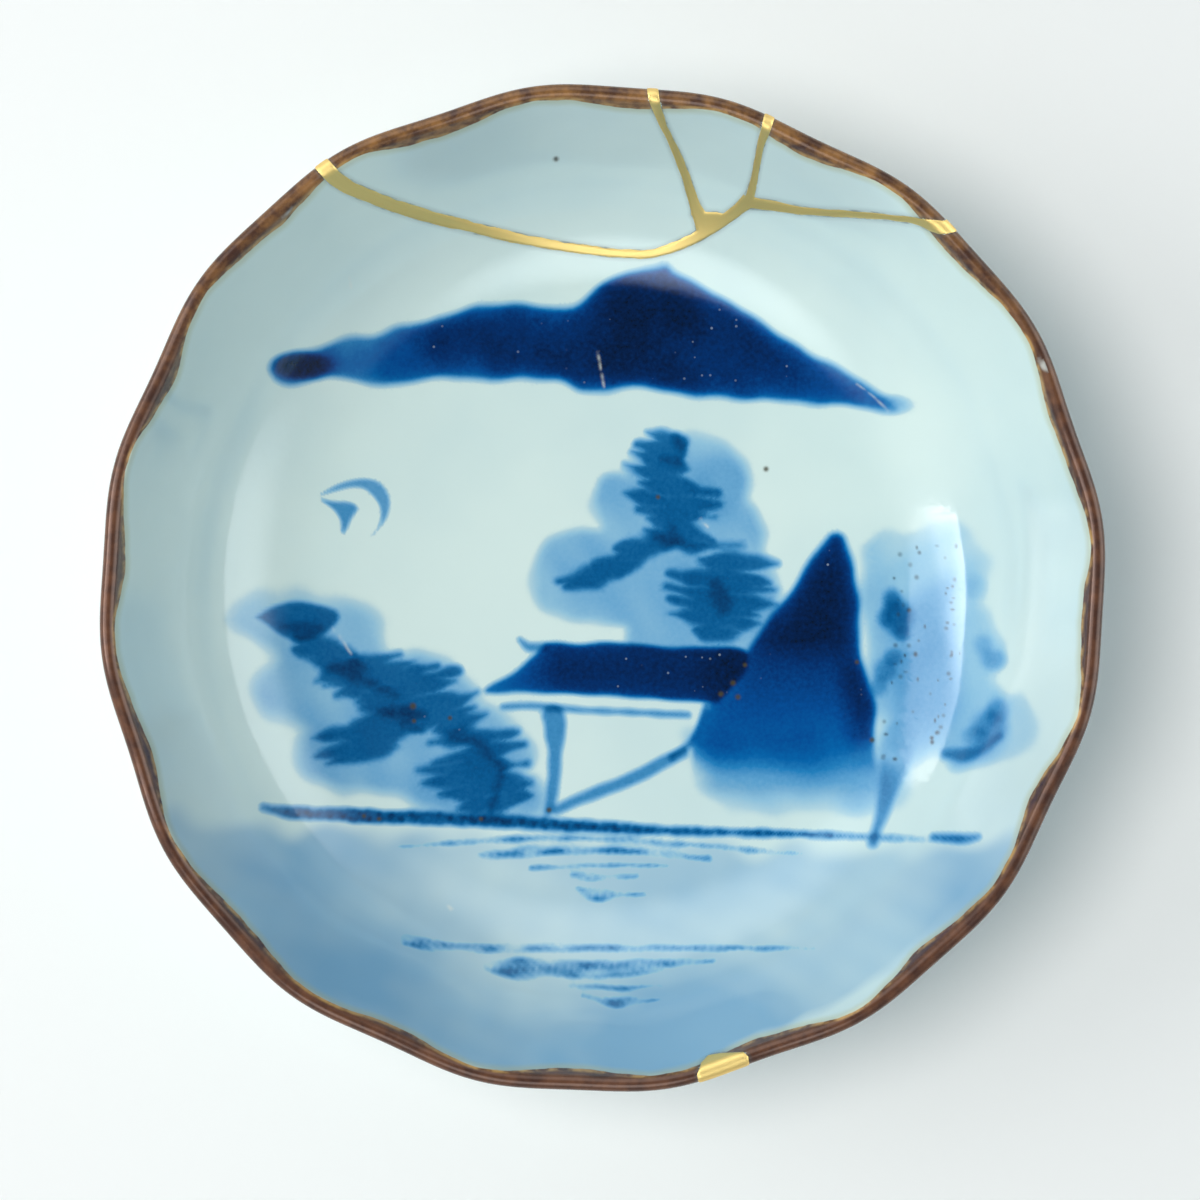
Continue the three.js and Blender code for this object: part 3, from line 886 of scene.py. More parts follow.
class Canvas:
    """The painting as amounts of pigment over the picture's pixels."""

    # Room round a mark for its soft edge, and the length of the waves in a stroke's and in an
    # area's ragged edge, all in pixels
    margin, stroke_wave, area_wave = 40, 34, 48

    def __init__(self):
        for layer in LAYERS:
            setattr(self, layer, np.zeros((PICTURE, PICTURE), np.float32))
        self.seed = 100

    def window(self, points, margin):
        x, y = np.asarray(points)[:, 0], np.asarray(points)[:, 1]
        left, right = int(max(x.min() - margin, 0)), int(min(x.max() + margin, PICTURE))
        top, bottom = int(max(y.min() - margin, 0)), int(min(y.max() + margin, PICTURE))
        where = slice(top, bottom), slice(left, right)
        return where, *self.pixels(where)

    def lay(self, layer, where, amount):
        """Adds pigment, which covers less where much lies already."""
        layer[where] += amount * (1 - layer[where])

    def cover(self, gap, soft):
        t = np.clip(0.5 - gap / soft / 2, 0, 1)
        return t * t * (3 - 2 * t)

    def mark(self, points, soft, ragged):
        """Where one stroke of the brush along points with widths lies, and how fully it covers."""
        self.seed += 1
        line = centripetal(points, 4.0)
        where, x, y = self.window(line, self.margin)
        gap = gap_to_line(x, y, line) + ragged * drift(x, y, self.stroke_wave, self.seed)
        return where, self.cover(gap, soft)

    def stroke(self, points, amount, soft=2.6, ragged=0.5, layer="cobalt", shade=None):
        where, cover = self.mark(points, soft, ragged)
        depth = amount if shade is None else amount * shade(*self.pixels(where))
        self.lay(getattr(self, layer), where, depth * cover)

    def pixels(self, where):
        """The middles of the pixels of a window."""
        rows, columns = where
        y, x = np.mgrid[rows, columns]
        return x + 0.5, y + 0.5

    def area(self, outline, amount, soft=4.0, ragged=1.5, layer="cobalt", shade=None, thin=0.0):
        """A filled area, with a shade that may vary over it and paint that thins out to its edge."""
        self.seed += 1
        loop = centripetal([*outline, outline[0]], 5.0)[:-1]
        where, x, y = self.window(loop, self.margin)
        gap = gap_to_loop(x, y, loop) + ragged * drift(x, y, self.area_wave, self.seed)
        depth = amount if shade is None else amount * shade(x, y)
        depth = depth * (1 - thin * np.exp(np.minimum(gap, 0) / 7))
        self.lay(getattr(self, layer), where, depth * self.cover(gap, soft))

    def blot(self, x, y, wide, high, amount, layer="cobalt", firm=2.0):
        """A soft oval blot, the firmer its edge the higher the power."""
        where, column, row = self.window([(x - wide, y - high), (x + wide, y + high)], max(wide, high))
        far = ((column - x) / wide) ** 2 + ((row - y) / high) ** 2
        self.lay(getattr(self, layer), where, amount * np.exp(-0.7 * far**firm))

    def bough(self, slope, stations, amount=0.6, spacing=14.0, width=18.0, tip=30.0):
        """A pine's bough: dabs of the brush across a stem that run together, with their tips apart."""
        self.seed += 1
        draw = np.random.default_rng(self.seed)
        dabs = np.zeros_like(self.cobalt)
        for x, y, left, right in centripetal(stations, spacing):
            turn = math.radians(slope + draw.uniform(-7, 7))
            along = np.array([math.cos(turn), math.sin(turn)])
            middle = np.array([x, y]) + draw.uniform(-2, 2, 2)
            left, right = draw.uniform(0.72, 1.14, 2) * (left, right)
            body = [max(reach - tip, 0.45 * reach) for reach in (left, right)]
            shares = [(-left, 0.25), (-(left + body[0]) / 2, 0.6), (-body[0], 1.0), (0, 1.1)]
            shares += [(body[1], 1.0), ((right + body[1]) / 2, 0.6), (right, 0.25)]
            bend = draw.uniform(-0.0016, 0.0016) * np.array([-along[1], along[0]])
            line = [(*(middle + along * far + bend * far**2), width * part) for far, part in shares]
            where, cover = self.mark(line, 5.0, 1.8)
            dabs[where] = np.maximum(dabs[where], cover)
        self.lay(self.cobalt, ..., amount * dabs)


def hill_shade(x, y):
    """The hill's blue: dark at the top, thinner at its foot, with a dark right flank."""
    level = y + 4 * drift(x, y, 90, 13)
    down = np.interp(level, [530, 640, 665, 712, 738, 752, 766, 780], [1, 1, 0.87, 0.76, 0.69, 0.5, 0.24, 0])
    flank = np.interp(x - 0.12 * (y - 700), [835, 862], [0, 1])
    return np.clip(down + 0.22 * flank * np.interp(y, [640, 680, 736, 752], [0, 1, 1, 0]), 0, 1)


def mountain_shade(x, y):
    """The mountain's blue: nearly black in its middle, thin beside the blot at its left end."""
    across = [270, 326, 342, 372, 400, 440, 560, 620, 700, 800, 860, 880, 900]
    depth = [0.78, 0.76, 0.67, 0.68, 0.8, 0.9, 0.93, 1.0, 0.96, 0.86, 0.8, 0.6, 0.2]
    uneven = 0.03 * drift(x, y, 70, 5) + 0.012 * drift(x, y, 17, 6)
    return np.clip(np.interp(x, across, depth) + uneven, 0, 1)


def roof_shade(x, y):
    """The roof's blue, thin at its left tip and nearly black at its right end."""
    return np.interp(x, [484, 520, 560, 690, 730], [0.66, 0.8, 0.94, 0.95, 1.03])


def left_wash_shade(x, y):
    """Palest at the top and where the wash first touched, deeper where it pooled."""
    deep = np.interp(y - 0.12 * (x - 300), [588, 612, 690, 800], [0.35, 0.75, 1.0, 1.12])
    return np.clip(deep + 0.12 * drift(x, y, 60, 8), 0.2, 1.25)


def middle_wash_shade(x, y):
    deep = np.interp(y, [434, 462, 640], [0.55, 0.9, 1.0]) * np.interp(x, [532, 570, 660], [0.82, 0.95, 1.0])
    return np.clip(deep + 0.1 * drift(x, y, 60, 9), 0.2, 1.2)


def right_wash_shade(x, y):
    """Thin at the top and along the right side, deeper below and on the left."""
    deep = np.interp(y, [520, 560, 640, 700], [0.45, 0.75, 1.0, 1.1]) * np.interp(x, [950, 1000], [1.0, 0.6])
    return np.clip(deep + 0.12 * drift(x, y, 50, 10), 0.2, 1.2)


def trunk_shade(x, y):
    """The right trunk's paint runs thin towards its top."""
    return np.interp(y, [740, 770, 800, 835], [0.2, 0.62, 0.9, 1.1])


def shore_shade(x, y):
    """The shore's line thins out to the right and is broken a little."""
    broken = 0.05 * drift(x, y, 70, 11) + 0.09 * drift(x, y, 9, 14)
    return np.interp(x, [264, 300, 800, 870, 925], [0.7, 1.0, 1.0, 0.6, 0.36]) + broken


def ripple_shade(x, y):
    """Ripples that swell and fade along their way."""
    return np.clip(0.85 + 0.3 * drift(x, y * 4, 60, 15) + 0.14 * drift(x, y, 10, 16), 0.2, 1.3)


def worn_shade(x, y):
    """A rub that comes and goes."""
    return np.clip(0.5 + 0.6 * drift(x, y, 11, 12), 0, 1)


def water_shade(x, y):
    """The water's thin wash: cloudy, with deeper pools at the left, the bottom and the right, and
    kept off the brown on the right of the filled chip."""
    deep = 0.54 + 0.12 * drift(x * 0.6, y, 120, 21) + 0.035 * drift(x * 0.7, y, 45, 22)
    for cx, cy, rx, ry, more in POOLS:
        deep = deep + more * np.exp(-(((x - cx) / rx) ** 2) - ((y - cy) / ry) ** 2)
    out = np.hypot(x - AXIS_PIXEL[0], y - AXIS_PIXEL[1]) * PIXEL_MM + 0.2 * drift(x, y, 40, 23)
    right = np.interp(x, [724, 744, 880, 980], [0, 1, 1, 0])
    return np.clip(deep, 0.05, 1) * (1 - right * np.interp(out, [69.6, 71.2], [0, 0.85]))


def paint():
    """The whole landscape."""
    canvas = Canvas()
    canvas.area(WATER, 1, 14, 5, "water", water_shade)
    washes = [
        (LEFT_PINE_WASH, 0.32, 13, 3, left_wash_shade),
        (MIDDLE_PINE_WASH, 0.35, 9, 2, middle_wash_shade),
        (MIDDLE_PINE_LOBE, 0.12, 12, 2, None),
        (RIGHT_PINE_WASH, 0.27, 12, 4, right_wash_shade),
        (RIGHT_PINE_HALO, 0.15, 9, 2, None),
        (HILL_FOOT, 0.36, 22, 3, None),
    ]
    for outline, amount, soft, ragged, shade in washes:
        canvas.area(outline, amount, soft, ragged, shade=shade)
    for blot in RIGHT_PINE_BLOTS:
        canvas.blot(*blot)
    for bough in BOUGHS:
        canvas.bough(*bough)
    canvas.area(LEAF, 0.64, 4, 1.0)
    for branch in DARK_BRANCHES:
        canvas.stroke(branch, 0.45, 5)
    canvas.stroke(RIGHT_PINE_STROKE, 0.5, 5)
    forms = [
        (MOUNTAIN, 6, 1.6, mountain_shade, 1),
        (ROOF, 4, 1.0, roof_shade, 0.5),
        (HILL, 5, 1.2, hill_shade, 1),
    ]
    for layer, amount, thin in (("cobalt", 0.97, 0.34), ("royal", 1.0, 0.0)):
        for outline, soft, ragged, shade, part in forms:
            chosen = shade if layer == "cobalt" else None
            canvas.area(outline, amount, soft, ragged, layer, chosen, thin * part)
    canvas.blot(303, 366, 29, 13, 0.9, firm=3.0)
    canvas.blot(890, 405, 20, 9, 0.3)
    canvas.area(CRESCENT, 0.45, 2.5, 0.4)
    canvas.area(CRESCENT_WEDGE, 0.5, 2.5, 0.4)
    canvas.stroke(SHORELINE, 0.8, 4.5, 0.7, shade=shore_shade)
    canvas.stroke(SHORE_END, 0.6, 5)
    for ripple in RIPPLES:
        canvas.stroke(ripple, 0.52, 4.4, 0.8, shade=ripple_shade)
    for beam in (EAVE, POST, BRACE, BRACE_TAIL, ROOF_HOOK):
        canvas.stroke(beam, 0.52, 4)
    canvas.stroke(RIGHT_TRUNK, 0.5, 5, shade=trunk_shade)
    for rub in RUBS:
        canvas.stroke(rub, 0.6, 1.2, 0.3, "rub", worn_shade)
    # Pinholes along the edges of the window's reflection, painted dark: real pits, and painted shade for the
    # reflection they break
    draw = np.random.default_rng(7)
    down = draw.uniform(0, 1, PITS)
    side = draw.choice([0.0, 0.04, 0.3, 0.8, 0.86, 0.9], PITS) + draw.normal(0, 0.09, PITS)
    for x, y in zip(903 - 22 * down**3 + 56 * side, 545 + 215 * down):
        wide, high = draw.uniform(0.8, 2.4, 2)
        canvas.blot(x, y, wide, high, draw.uniform(0.4, 0.95), "pit")
    for x, y, width in SPECKS:
        canvas.blot(x, y, width / 2, width / 2, 0.9, "speck")
    return canvas


def sampled(layer, x, y):
    """A layer's amounts at places between its pixels."""
    x, y = np.clip(x - 0.5, 0, layer.shape[1] - 2), np.clip(y - 0.5, 0, layer.shape[0] - 2)
    i, j = x.astype(int), y.astype(int)
    s, t = x - i, y - j
    top = layer[j, i] * (1 - s) + layer[j, i + 1] * s
    low = layer[j + 1, i] * (1 - s) + layer[j + 1, i + 1] * s
    return top * (1 - t) + low * t


def detail_of(canvas):
    """How fine the faces have to be over the picture, in mm."""
    steep = np.zeros((PICTURE, PICTURE), np.float32)
    for layer, weight in (("cobalt", 1.0), ("water", 1.0), ("rub", 2.0), ("speck", 2.0), ("pit", 2.0)):
        down, across = np.gradient(getattr(canvas, layer))
        steep = np.maximum(steep, weight * np.hypot(down, across))
    for _ in range(3):
        for shift in ((1, 0), (-1, 0), (0, 1), (0, -1)):
            steep = np.maximum(steep, np.roll(steep, shift, (0, 1)))
    return np.interp(steep, [0.003, 0.02, 0.06, 0.15, 0.5], [1.25, 0.75, 0.45, 0.32, 0.2]).astype(np.float32)


def brown_width(bearing):
    """How far in from the outer rim the brown reaches, seen from above, in mm."""
    lobes, _, crest = RIM_WAVES["Lobes"]
    even = 2.6 - 0.4 * np.cos(lobes * (bearing - math.radians(crest)))
    x, y = RIM * np.cos(bearing), RIM * np.sin(bearing)
    return even + 0.16 * drift(x, y, 15, 71) + 0.05 * drift(x, y, 5, 72)


# How much longer the porcelain's edges may be than its details ask, to stay light
PORCELAIN_COARSE = 1.75


class Bowl:
    """What the operators share: the section, the camera and the painting."""

    def __init__(self, scene):
        self.form = scene.bowl_form
        self.section = Section(self.form)
        self.camera = camera_place(scene.bowl_stage)
        self.canvas = paint()
        self.detail = detail_of(self.canvas)
        self.gap_to_seam = PlanMap(gap_to_seam)
        self.gap_to_chip = PlanMap(gap_to_chip)

    def gap_to_gold(self, points):
        """Distance in mm from places on the ware to the edge of the gold, below nothing inside it."""
        x, y = points[:, 0], points[:, 1]
        chip = np.maximum(self.gap_to_chip(x, y), gap_to_hollow(points))
        return np.minimum(self.gap_to_seam(x, y), chip)

    def porcelain_target(self, middle, run):
        """How long an edge may be at a place on the porcelain, in mm."""
        section = self.section
        x, y = to_pixels(middle, self.camera)
        inside = np.minimum(sampled(self.detail, x, y), 1.25)
        wall = np.interp(np.hypot(middle[:, 0], middle[:, 1]), [44, 50, 70], [1.25, 1.0, 0.8])
        target = np.where(run > section.crest, np.minimum(inside, wall), 2.2)
        lip = np.abs(run - section.crest)
        target = np.minimum(target, np.interp(lip, [1.5, 5, 12], [0.42, 0.6, 2.4]))
        gold = np.abs(self.gap_to_gold(middle))
        close = np.interp(gold, [0.6, 3], [0.4, 1.3])
        outside = 2 * close + 0.4
        target = np.minimum(target, np.where(run > section.crest - 4, close, outside))
        foot = np.interp(middle[:, 2], [1.2, 6.5], [0.8, 2.2])
        return PORCELAIN_COARSE * np.where(run < section.crest, np.minimum(target, foot), target)

    def gold_target(self, middle, run):
        return np.interp(self.gap_to_gold(middle), [0.4, 2, 8], [0.42, 1.2, 5])

    def paint_on(self, mesh):
        """Writes the pigments and the distances that the glaze is coloured by."""
        points, run = places(mesh), read(mesh, "run")
        inside = run > self.section.crest
        x, y = to_pixels(points, self.camera)
        for key in LAYERS:
            write(mesh, key, np.where(inside, sampled(getattr(self.canvas, key), x, y), 0))
        radius, height = self.section.at(run)
        bearing = np.arctan2(points[:, 1], points[:, 0])
        within = radius - (self.section.rim - brown_width(bearing))
        drop = 3.2 + 0.5 * drift(points[:, 0], points[:, 1], 14, 73)
        below = height - (self.section.line[:, 1].max() - drop)
        write(mesh, "iron", np.clip(np.where(inside, within, below), -4, 4))
        write(mesh, "seam", np.clip(self.gap_to_gold(points), -2, 4))
        write(mesh, "lip", np.clip(run - self.section.crest, -4, 4))


# The bowl that the operators share, once it is worked out
SHARED = {}


def the_bowl(scene):
    if "bowl" not in SHARED:
        SHARED["bowl"] = Bowl(scene)
    return SHARED["bowl"]


def dress(piece, node):
    """Gives a finished piece its smooth shading and its place in the frame."""
    piece.data.polygons.foreach_set("use_smooth", np.ones(len(piece.data.polygons), bool))
    piece.data.set_sharp_from_angle(angle=math.radians(40))
    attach(piece, "root")
    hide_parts(node)


def fresh_material(name, kind="ShaderNodeBsdfPrincipled"):
    """A material, what adds a node to it, and its shader."""
    material = bpy.data.materials.new(name)
    material.use_nodes = True
    material.node_tree.nodes.clear()
    node = partial(add, material.node_tree)
    shader = node(kind, out=None)
    node("ShaderNodeOutputMaterial", {"Surface": shader.outputs[0]}, out=None)
    return material, node, shader


# Blues from the thinnest wash to the fullest paint: those of a stroke, and the richer ones of the
# large forms
COBALT_RAMP = [
    (0.0, "#cfe3e2"), (0.1, "#b2d3e0"), (0.22, "#93c3de"), (0.36, "#70abd5"), (0.5, "#448fc3"),
    (0.62, "#1f70a8"), (0.74, "#075a93"), (0.84, "#074578"), (0.93, "#07305a"), (1.0, "#061d3c"),
]
ROYAL_RAMP = [
    (0.0, "#cfe3e2"), (0.1, "#b2d2de"), (0.22, "#93c0d9"), (0.36, "#5fa2d0"), (0.5, "#2480bd"),
    (0.62, "#0463a9"), (0.74, "#034a92"), (0.86, "#03306c"), (0.94, "#042250"), (1.0, "#051835"),
]


# The noises of the glaze: size of a cell in mm, finer layers, and how rough those are
GLAZE_NOISE = {
    "cloud": (34, 3, 0.5),
    "grain": (0.7, 3, 0.6),
    "crowd": (9, 1, 0.5),
    "ragged": (1.4, 2, 0.5),
    "fired": (3, 4, 0.6),
    "thin": (2.4, 3, 0.5),
    "broken": (2.2, 2, 0.5),
    "fine": (1.1, 2, 0.5),
}
FLECK_SPACING = 1.3

# Roughness of the glaze, and what the brown and the bare clay add to it
GLAZE_ROUGH, BROWN_ROUGH, BARE_ROUGH = 0.09, 0.12, 0.66
GLAZE_IOR = 1.55


def glazed_porcelain(colours):
    """Glazed porcelain, pressed, painted under the glaze and fired: a clear wet gloss over the
    paint, slow waves that bend the highlights, grain and pinholes in the pigment, and a brown lip
    whose iron makes a duller and warmer sheen."""
    material, node, shader = fresh_material("porcelain painted under a clear glaze")
    place = node("ShaderNodeTexCoord", out="Object")
    _, north, height = node(SPLIT, [place], out=None).outputs
    amount = {key: node(ATTRIBUTE, out="Fac", attribute_name=key) for key in (*LAYERS, *DISTANCES)}
    noise = {}
    for key, (cell, finer, rough) in (GLAZE_NOISE | {"slow": (colours.wave / MM, 1, 0.5)}).items():
        feeds = {"Vector": place, "Scale": 1 / (cell * MM), "Detail": finer, "Roughness": rough}
        noise[key] = node(NOISE, feeds, out="Fac")

    # The pigment with its grain, the brown's ragged edge, and flecks that gather in places
    grain = node(RANGE, [noise["grain"], 0, 1, 0.9, 1.1])
    pigment = node(MATH, [amount["cobalt"], grain], operation="MULTIPLY", use_clamp=True)
    edge = node(MATH, [amount["iron"], node(RANGE, [noise["ragged"], 0, 1, -0.07, 0.07])], operation="ADD")
    feeds = {"Vector": place, "Scale": 1 / (FLECK_SPACING * MM)}
    cells = node("ShaderNodeTexVoronoi", feeds, out=None).outputs
    feeds = [node(SPLIT, [cells["Color"]]), node(RANGE, [noise["crowd"], 0, 1, -0.55, 0.55])]
    crowded = node(MATH, feeds, operation="ADD")

    # How much of each thing shows: what it goes by, from where to where, and its share at each end
    eases = {
        "pooled": (noise["cloud"], 0.35, 0.75, 0, 1),
        "paint": (pigment, 0, 0.12, 0, 1),
        "fleck": (cells["Distance"], 0.09, 0.2, 1, 0),
        "crowd": (crowded, 0.8, 0.95, 0, 1),
        "heavy": (pigment, 0.75, 0.95, 0, 0.5),
        "halo": (edge, -0.9, -0.05, 0, 0.5),
        "brown": (edge, -0.05, 0.07, 0, 1),
        "full brown": (edge, 0.12, 0.55, 0, 1),
        # painted light: the brown turns lighter and warmer towards the far rim, for the light on its flat
        # top
        "far": (north, 20 * MM, 70 * MM, 0, 1),
        "dark": (noise["fired"], 0.25, 0.7, 0, 1),
        "patchy": (noise["thin"], 0.35, 0.65, 0, 1),
        "outer": (amount["lip"], -1.9, -1.3, 1, 0),
        "over": (amount["lip"], -2.7, -2.2, 0, 0.75),
        "shadow": (amount["seam"], 0, 0.75, 0.25, 0),
        "line": (amount["seam"], 0.04, 0.22, 1, 0),
        "broken": (noise["broken"], 0.35, 0.7, 0, 0.5),
        "bare": (height, 0.25 * MM, 0.6 * MM, 1, 0),
    }
    share = {key: node(RANGE, ease, interpolation_type="SMOOTHSTEP") for key, ease in eases.items()}
    for key, other in (("fleck", "crowd"), ("fleck", "heavy"), ("outer", "over"), ("line", "broken")):
        share[key] = node(MATH, [share[key], share[other]], operation="MULTIPLY")

    blues = []
    for stops in (COBALT_RAMP, ROYAL_RAMP):
        blues.append(node("ShaderNodeValToRGB", [pigment]))
        elements = blues[-1].node.color_ramp.elements
        while len(elements) < len(stops):
            elements.new(0.5)
        for element, (position, code) in zip(elements, stops):
            element.position = position
            element.color = linear(code)

    # Colour laid over colour: the share that shows, what is under and what is over, by an earlier
    # row's name or as a colour
    coats = {
        "glaze": (share["pooled"], colours.glaze, colours.pooled),
        "watered": (amount["water"], "glaze", colours.water),
        "blue": (amount["royal"], *blues),
        "painted": (share["paint"], "watered", "blue"),
        "flecked": (share["fleck"], "painted", linear("#a9b9cc")),
        "haloed": (share["halo"], "flecked", colours.halo),
        # the far rim's brown painted lighter, as painted light
        "iron": (share["far"], colours.iron, colours.iron_far_lit),
        "fired": (share["dark"], "iron", colours.iron_dark),
        "tan": (share["patchy"], colours.rust, "fired"),
        "rusty": (share["full brown"], "tan", "fired"),
        "lipped": (share["outer"], "rusty", linear("#9a6236")),
        "dressed": (share["brown"], "haloed", "lipped"),
        "shaded": (share["shadow"], "dressed", linear("#5e7276")),
        "lined": (share["line"], "shaded", linear("#4a4436")),
        "rubbed": (amount["rub"], "lined", linear("#dfe6e2")),
        "specked": (amount["speck"], "rubbed", linear("#4b4632")),
        # pinholes painted dark: real pits, and partly painted shade in the window's reflection
        "pitted": (amount["pit"], "specked", linear("#27384a")),
        "whole": (share["bare"], "pitted", colours.biscuit),
        "sheen": (share["brown"], linear("#ffffff"), linear("#f6dbd0")),
    }
    coat = {}
    for key, (factor, *pair) in coats.items():
        under, over = (coat[colour] if isinstance(colour, str) else colour for colour in pair)
        kind = "DARKEN" if key == "painted" else "MIX"
        coat[key] = node(MIX, {0: factor, 6: under, 7: over}, 2, data_type="RGBA", blend_type=kind)

    dull = node(MATH, [share["brown"], BROWN_ROUGH, GLAZE_ROUGH], operation="MULTIPLY_ADD")
    dull = node(MATH, [share["bare"], BARE_ROUGH, dull], operation="MULTIPLY_ADD")
    slow = node("ShaderNodeBump", {"Height": noise["slow"], "Distance": 0.05 * MM, "Strength": 0.6})
    fine = node("ShaderNodeBump", {"Height": noise["fine"], "Distance": 0.009 * MM, "Normal": slow})
    feeds = {"Base Color": coat["whole"], "Roughness": dull, "Specular Tint": coat["sheen"], "Normal": fine}
    feed(shader, feeds | {"IOR": GLAZE_IOR})
    return material


# The gold's brush marks: their length and width in mm, and how much duller or brighter they are
BRUSH_LENGTH, BRUSH_WIDTH, BRUSH_STRAY = 6, 1 / 7, 0.12


def gold_lacquer(mend):
    """Gold powder dusted on urushi lacquer and burnished: warm satin metal, brushed a little along."""
    material, node, shader = fresh_material("gold powder burnished on lacquer")
    inset = node(ATTRIBUTE, out="Fac", attribute_name="inset")
    across = node(JOIN, {2: node(MATH, [inset, 1 / BRUSH_WIDTH], operation="MULTIPLY")})
    feeds = {0: node("ShaderNodeTexCoord", out="Object"), "Scale": 1 / (BRUSH_LENGTH * MM)}
    combed = node(VECTOR, [node(VECTOR, feeds, operation="SCALE"), across])
    streaks = node(NOISE, {"Vector": combed, "Scale": 1.0, "Detail": 3.0}, out="Fac")
    rough = node(RANGE, {0: streaks, 3: mend.roughness - BRUSH_STRAY, 4: mend.roughness + BRUSH_STRAY})
    bump = node("ShaderNodeBump", {"Height": streaks, "Distance": 0.03 * MM, "Strength": 0.5})
    feed(shader, {"Base Color": mend.gold, "Metallic": 1.0, "Roughness": rough, "Normal": bump})
    return material


def bead_tree():
    """Raises the gold as a low round bead and keeps only what lies inside the mend's plan."""
    inputs = {"Proud": "Float", "Plan": "Object", "Material": "Material"}
    tree, node, given = tree_with("Gold bead", inputs)
    bead = node("GeometryNodeInputNamedAttribute", {"Name": "bead"}, data_type="FLOAT")
    lift = node(MATH, [bead, given["Proud"]], operation="MULTIPLY")
    move = node(VECTOR, {0: node("GeometryNodeInputNormal"), "Scale": lift}, operation="SCALE")
    raised = node("GeometryNodeSetPosition", {"Geometry": given["Geometry"], "Offset": move})
    plan = node("GeometryNodeObjectInfo", {"Object": given["Plan"]}, out="Geometry")
    inside = node("GeometryNodeMeshBoolean", {1: raised}, operation="INTERSECT", solver="MANIFOLD")
    feed(inside.node, {1: plan})
    close_tree(node, inside, given["Material"])
    return tree


# The outline of the window as seen from the bowl, first its middle: azimuth and height over the
# horizon in degrees, and how bright it is there
WINDOW = [
    (174, 50, 0.8), (194, 62, 1.0), (194, 47, 2.4), (192, 28, 2.8), (183, 26, 3.6), (172, 25, 3.0),
    (162, 18, 1.5), (150, 12, 1.2), (147, 27, 1.4), (155, 55, 1.0), (163, 68, 0.9), (176, 79, 0.8),
    (186, 77, 0.8), (191, 72, 0.8),
]
WINDOW_DISTANCE = 1.3

# Pale cards round the bowl that only the gloss mirrors: azimuth, height and radius in degrees, and
# glow, and the part of the radius that glows fully
CARDS = [(260, 54, 26, 3.2), (10, 17, 44, 3.1), (104, 40, 37, 1.6)]
CARD_CORE = 0.3

# The sky: where the dark ceiling begins and is whole, as the sine of the height, its part of the
# light, how much the light leans to the left, and how much of it the gloss doesn't mirror
CEILING = (0.85, 0.95)
CEILING_LIGHT = 0.1
LEAN = -0.38
UNMIRRORED = -0.4

# The lamps' directions in degrees and their widths in metres, and their distance
LAMPS = {"top": (175, 74, 0.6), "side": (172, 38, 0.7)}
LAMP_DISTANCE = 1.4


def at_height(azimuth, height, distance):
    """A place in a direction from the bowl."""
    level = direction(azimuth) * math.cos(math.radians(height))
    return mathutils.Vector((*level, math.sin(math.radians(height)))) * distance


def window_sheet(power):
    """The window as a bent glowing sheet that only shows in the gloss of the glaze and the gold."""
    mesh = bpy.data.meshes.new("window")
    count = len(WINDOW) - 1
    faces = [(1 + i, 1 + (i + 1) % count, 0) for i in range(count)]
    corners = [at_height(azimuth, height, WINDOW_DISTANCE) for azimuth, height, _ in WINDOW]
    mesh.from_pydata(corners, [], faces)
    write(mesh, "glow", [glow for _, _, glow in WINDOW])
    material, node, light = fresh_material("daylight through a window", "ShaderNodeEmission")
    glow = node(ATTRIBUTE, out="Fac", attribute_name="glow")
    strength = node(MATH, [glow, power], operation="MULTIPLY")
    feed(light, {"Color": linear("#ffffff"), "Strength": strength})
    mesh.materials.append(material)
    sheet = shown("window", mesh)
    sheet.visible_diffuse = sheet.visible_shadow = False
    return sheet


def studio_sky(stage):
    """Soft light from all round, more from the left, with a dark ceiling over the camera. What the
    gloss mirrors of it is dimmer, and has the pale cards in it."""
    world = bpy.data.worlds.new("studio")
    world.use_nodes = True
    node = partial(add, world.node_tree)
    way = node("ShaderNodeTexCoord", out="Generated")
    right, _, up = node(SPLIT, [way], out=None).outputs
    feeds = [up, *CEILING, stage.fill, CEILING_LIGHT * stage.fill]
    ceiling = node(RANGE, feeds, interpolation_type="SMOOTHSTEP")
    leaning = node(MATH, [right, LEAN, 1.0], operation="MULTIPLY_ADD")
    all_round = node(MATH, [ceiling, leaning], operation="MULTIPLY")
    extra = node(MATH, [all_round, UNMIRRORED], operation="MULTIPLY")
    for azimuth, height, radius, glow in CARDS:
        facing = node(VECTOR, [way, at_height(azimuth, height, 1.0)], "Value", operation="DOT_PRODUCT")
        rim, core = (math.cos(math.radians(radius * part)) for part in (1, CARD_CORE))
        card = node(RANGE, [facing, rim, core, 0, glow * stage.cards], interpolation_type="SMOOTHSTEP")
        extra = node(MATH, [extra, card], operation="ADD")
    mirrored = node("ShaderNodeLightPath", out="Is Glossy Ray")
    strength = node(MATH, [extra, mirrored, all_round], operation="MULTIPLY_ADD")
    feed(world.node_tree.nodes["Background"], {"Color": linear("#f1fcff"), "Strength": strength})
    return world


